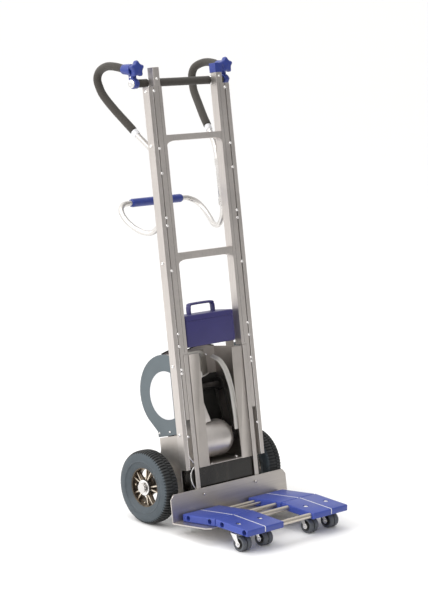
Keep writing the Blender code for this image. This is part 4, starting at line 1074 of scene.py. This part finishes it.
def casters():
    """Twin-wheel casters: pressed forks, bearing races, treaded wheels and bright caps."""
    for side, s in SIDES:
        for place in ("inner", "outer"):
            name = f"{side}_{place}_caster"
            stem = Vector(joints[name + "_swivel"]["pos_m"])
            hub = Vector(joints[name + "_turn"]["pos_m"])
            radius = hub.z
            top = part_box(side + "_front_pad")[0].z - 0.0006
            trail = hub.y - stem.y
            base = Matrix.Translation((stem.x, stem.y, 0))
            outline = [(0.0135, top - 0.006), (0.0135, top - 0.0085), (0.0040, top - 0.0200)]
            outline += arc((trail, radius), 0.0100, 20, -200, 14)
            outline += [(-0.0210, top - 0.0260), (-0.0135, top - 0.0085), (-0.0135, top - 0.006)]
            cheek = plate("cheek", [outline], 0.0018, 0.0004)
            bridge = block("bridge", (-0.0231, -0.0135, top - 0.0078), (0.0231, 0.0135, top - 0.0058),
                           0.0008, 2)
            race = lathe("race", [(0, top), (0.0150, top), (0.0162, top - 0.0012), (0.0162, top - 0.0030),
                                  (0.0148, top - 0.0040), (0.0148, top - 0.0058), (0, top - 0.0058)], 40)
            nut = hex_bolt(0.0048, 0.0040)
            parts = [(bridge, WORLD), (race, WORLD)]
            for flip in (-1, 1):
                parts.append((cheek, Matrix.Translation((flip * 0.0222, 0, 0)) @ SIDE_VIEW))
                parts.append((nut, at((flip * 0.0229, trail, radius), "X" if flip > 0 else "-X")))
            axle = [(0, -0.0225), (0.0035, -0.0225), (0.0035, 0.0225), (0, 0.0225)]
            parts.append((lathe("axle", axle, 20), at((0, trail, radius), "X")))
            head = [(0, -0.030), (0.0050, -0.030), (0.0050, -0.0030), (0.0080, -0.0025), (0.0076, 0.0003),
                    (0.0050, 0.0016), (0, 0.0022)]
            pad_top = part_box(side + "_front_pad")[1].z
            parts.append((lathe("stem", head, 32), Matrix.Translation((0, 0, pad_top - 0.0035))))
            piece(name + "_pressed_fork", joined("fork", parts), BRIGHT, name, base,
                  (name + "_fork",))
            half = 0.0200
            tread = []
            cores = []
            for flip in (-1, 1):
                rim = [(radius - 0.0065, 0.0005), (radius - 0.0012, 0.0008), (radius, 0.0030), (radius,
                                                                                                half - 0.0040),
                       (radius - 0.0018, half - 0.0008), (radius - 0.0060, half - 0.0003), (radius - 0.0075,
                                                                                            half - 0.0025),
                       (radius - 0.0075, 0.0030)]
                tread.append((lathe("tread", [(r, 0.0012 + h * 0.94) for r, h in rim], 48, closed=True),
                              TURN["X" if flip > 0 else "-X"]))
                core = [(0.0038, 0.0005), (radius - 0.0076, 0.0010), (radius - 0.0076, half - 0.0035),
                        (0.0105, half - 0.0050),
                        (0.0080, half - 0.0006), (0.0038, half - 0.0006)]
                cores.append((lathe("core", core, 40, closed=True), TURN["X" if flip > 0 else "-X"]))
            piece(f"{side}_{place}_caster_tread", joined("tread", tread), TREAD_GREY, f"{side}_{place}_wheel",
                  Matrix.Translation(hub), (name + "_wheel",))
            piece(f"{side}_{place}_caster_core", joined("core", cores), BLACK, f"{side}_{place}_wheel",
                  Matrix.Translation(hub))


def small_parts():
    """Post cap, climbing wheels and the wire loop beside the left rail."""
    coat("right_post_cap", BLUE, 0.0010)
    for side, s in SIDES:
        coat(side + "_climbing_wheel", RUBBER)
    upper = smooth_path(((-0.1630, -0.1270, 0.0995), (-0.1560, -0.1280, 0.0850), (-0.1410, -0.1280, 0.0650)),
                        8)
    lower = smooth_path(((-0.1430, -0.1280, 0.0550), (-0.1570, -0.1285, 0.0420), (-0.1630, -0.1290, 0.0260),
                         (-0.1590, -0.1290, 0.0020), (-0.1430, -0.1280, -0.0250)), 8)
    wires = [(sweep("wire", run, 0.0019, 12), WORLD) for run in (upper, lower)]
    piece("stay_wire", joined("wires", wires, 50), BRIGHT, "frame", LEAN_SPACE)
    saddles = []
    for side, s in SIDES:
        for z in (1.062, 0.925):
            band = [(TUBE_RADIUS + 0.0002, -0.0110), (TUBE_RADIUS + 0.0018, -0.0100), (TUBE_RADIUS + 0.0018,
                                                                                       0.0100),
                    (TUBE_RADIUS + 0.0002, 0.0110)]
            saddles.append((lathe("saddle", band, 36, closed=True), at((s * 0.1340, -0.0893, z))))
    piece("tube_saddles", joined("saddles", saddles), STEEL, "frame", LEAN_SPACE)


# ---- camera, light and floor ------------------------------------------------------------------------
def studio():
    """Pale floor, white surround brighter behind and to the left, and one gentle key light."""
    floor = bpy.data.meshes.new("floor")
    reach = 100.0
    floor.from_pydata([(-reach, -reach, 0), (reach, -reach, 0), (reach, reach, 0), (-reach, reach, 0)], [],
                      [(0, 1, 2, 3)])
    ground = bpy.data.objects.new("floor", floor)
    bpy.context.scene.collection.objects.link(ground)
    floor.materials.append(surface("pale_floor", (0.93, 0.93, 0.93), 0.75, 0.0, 0.003, 0.05, 2))
    world = bpy.data.worlds.new("studio")
    bpy.context.scene.world = world
    world.use_nodes = True
    nodes = world.node_tree.nodes
    link = world.node_tree.links.new
    sky = nodes["Background"]
    sky.inputs["Strength"].default_value = 1.0
    coordinates = nodes.new("ShaderNodeTexCoord")
    split = nodes.new("ShaderNodeVectorMath")
    split.operation = "DOT_PRODUCT"
    split.inputs[1].default_value = Vector((-0.70, 0.68, 0.25)).normalized()
    link(coordinates.outputs["Generated"], split.inputs[0])
    spread = nodes.new("ShaderNodeMapRange")
    spread.inputs["From Min"].default_value = -0.9
    spread.inputs["From Max"].default_value = 0.8
    spread.inputs["To Min"].default_value = 0.34
    spread.inputs["To Max"].default_value = 1.55
    link(split.outputs["Value"], spread.inputs["Value"])
    link(spread.outputs["Result"], sky.inputs["Strength"])
    sky.inputs["Color"].default_value = (1.0, 0.992, 0.98, 1)
    for label, spot, size, power in (("key", (-3.4, 0.6, 2.8), 2.2, 60), ("top", (-0.6, 0.2, 4.6), 2.4, 45)):
        lamp = bpy.data.lights.new(label, "AREA")
        lamp.energy = power
        lamp.size = size
        made = bpy.data.objects.new(label, lamp)
        bpy.context.scene.collection.objects.link(made)
        made.location = spot
        made.rotation_euler = (Vector((0, 0, 0.7)) - Vector(spot)).to_track_quat("-Z", "Y").to_euler()


def camera():
    """Long lens at the load side's left, a little above the middle of the trolley."""
    azimuth = math.radians(-43.175)
    elevation = math.radians(10.96)
    roll = math.radians(1.34)
    aim = Vector((0.0387, AXLE.y, 0.7306))
    away = Vector((math.sin(azimuth) * math.cos(elevation), -math.cos(azimuth) * math.cos(elevation),
                   math.sin(elevation)))
    across = Vector((0, 0, 1)).cross(away).normalized()
    lens = bpy.data.cameras.new("camera")
    lens.lens = 117.8
    lens.clip_end = 200
    made = bpy.data.objects.new("camera", lens)
    bpy.context.scene.collection.objects.link(made)
    made.matrix_world = space(aim + away * 6.666, across, away.cross(across), away) @ Matrix.Rotation(roll,
                                                                                                      4, "Z")
    bpy.context.scene.camera = made
    bpy.context.scene.view_settings.view_transform = "Standard"


rails()
rail_details()
hoops()
top_bar()
handle_joints()
star_knobs()
rear_bow()
battery()
drive()
crest_trim()
covers()
main_wheels()
toe_plate()
pads()
rods()
casters()
small_parts()
studio()
camera()
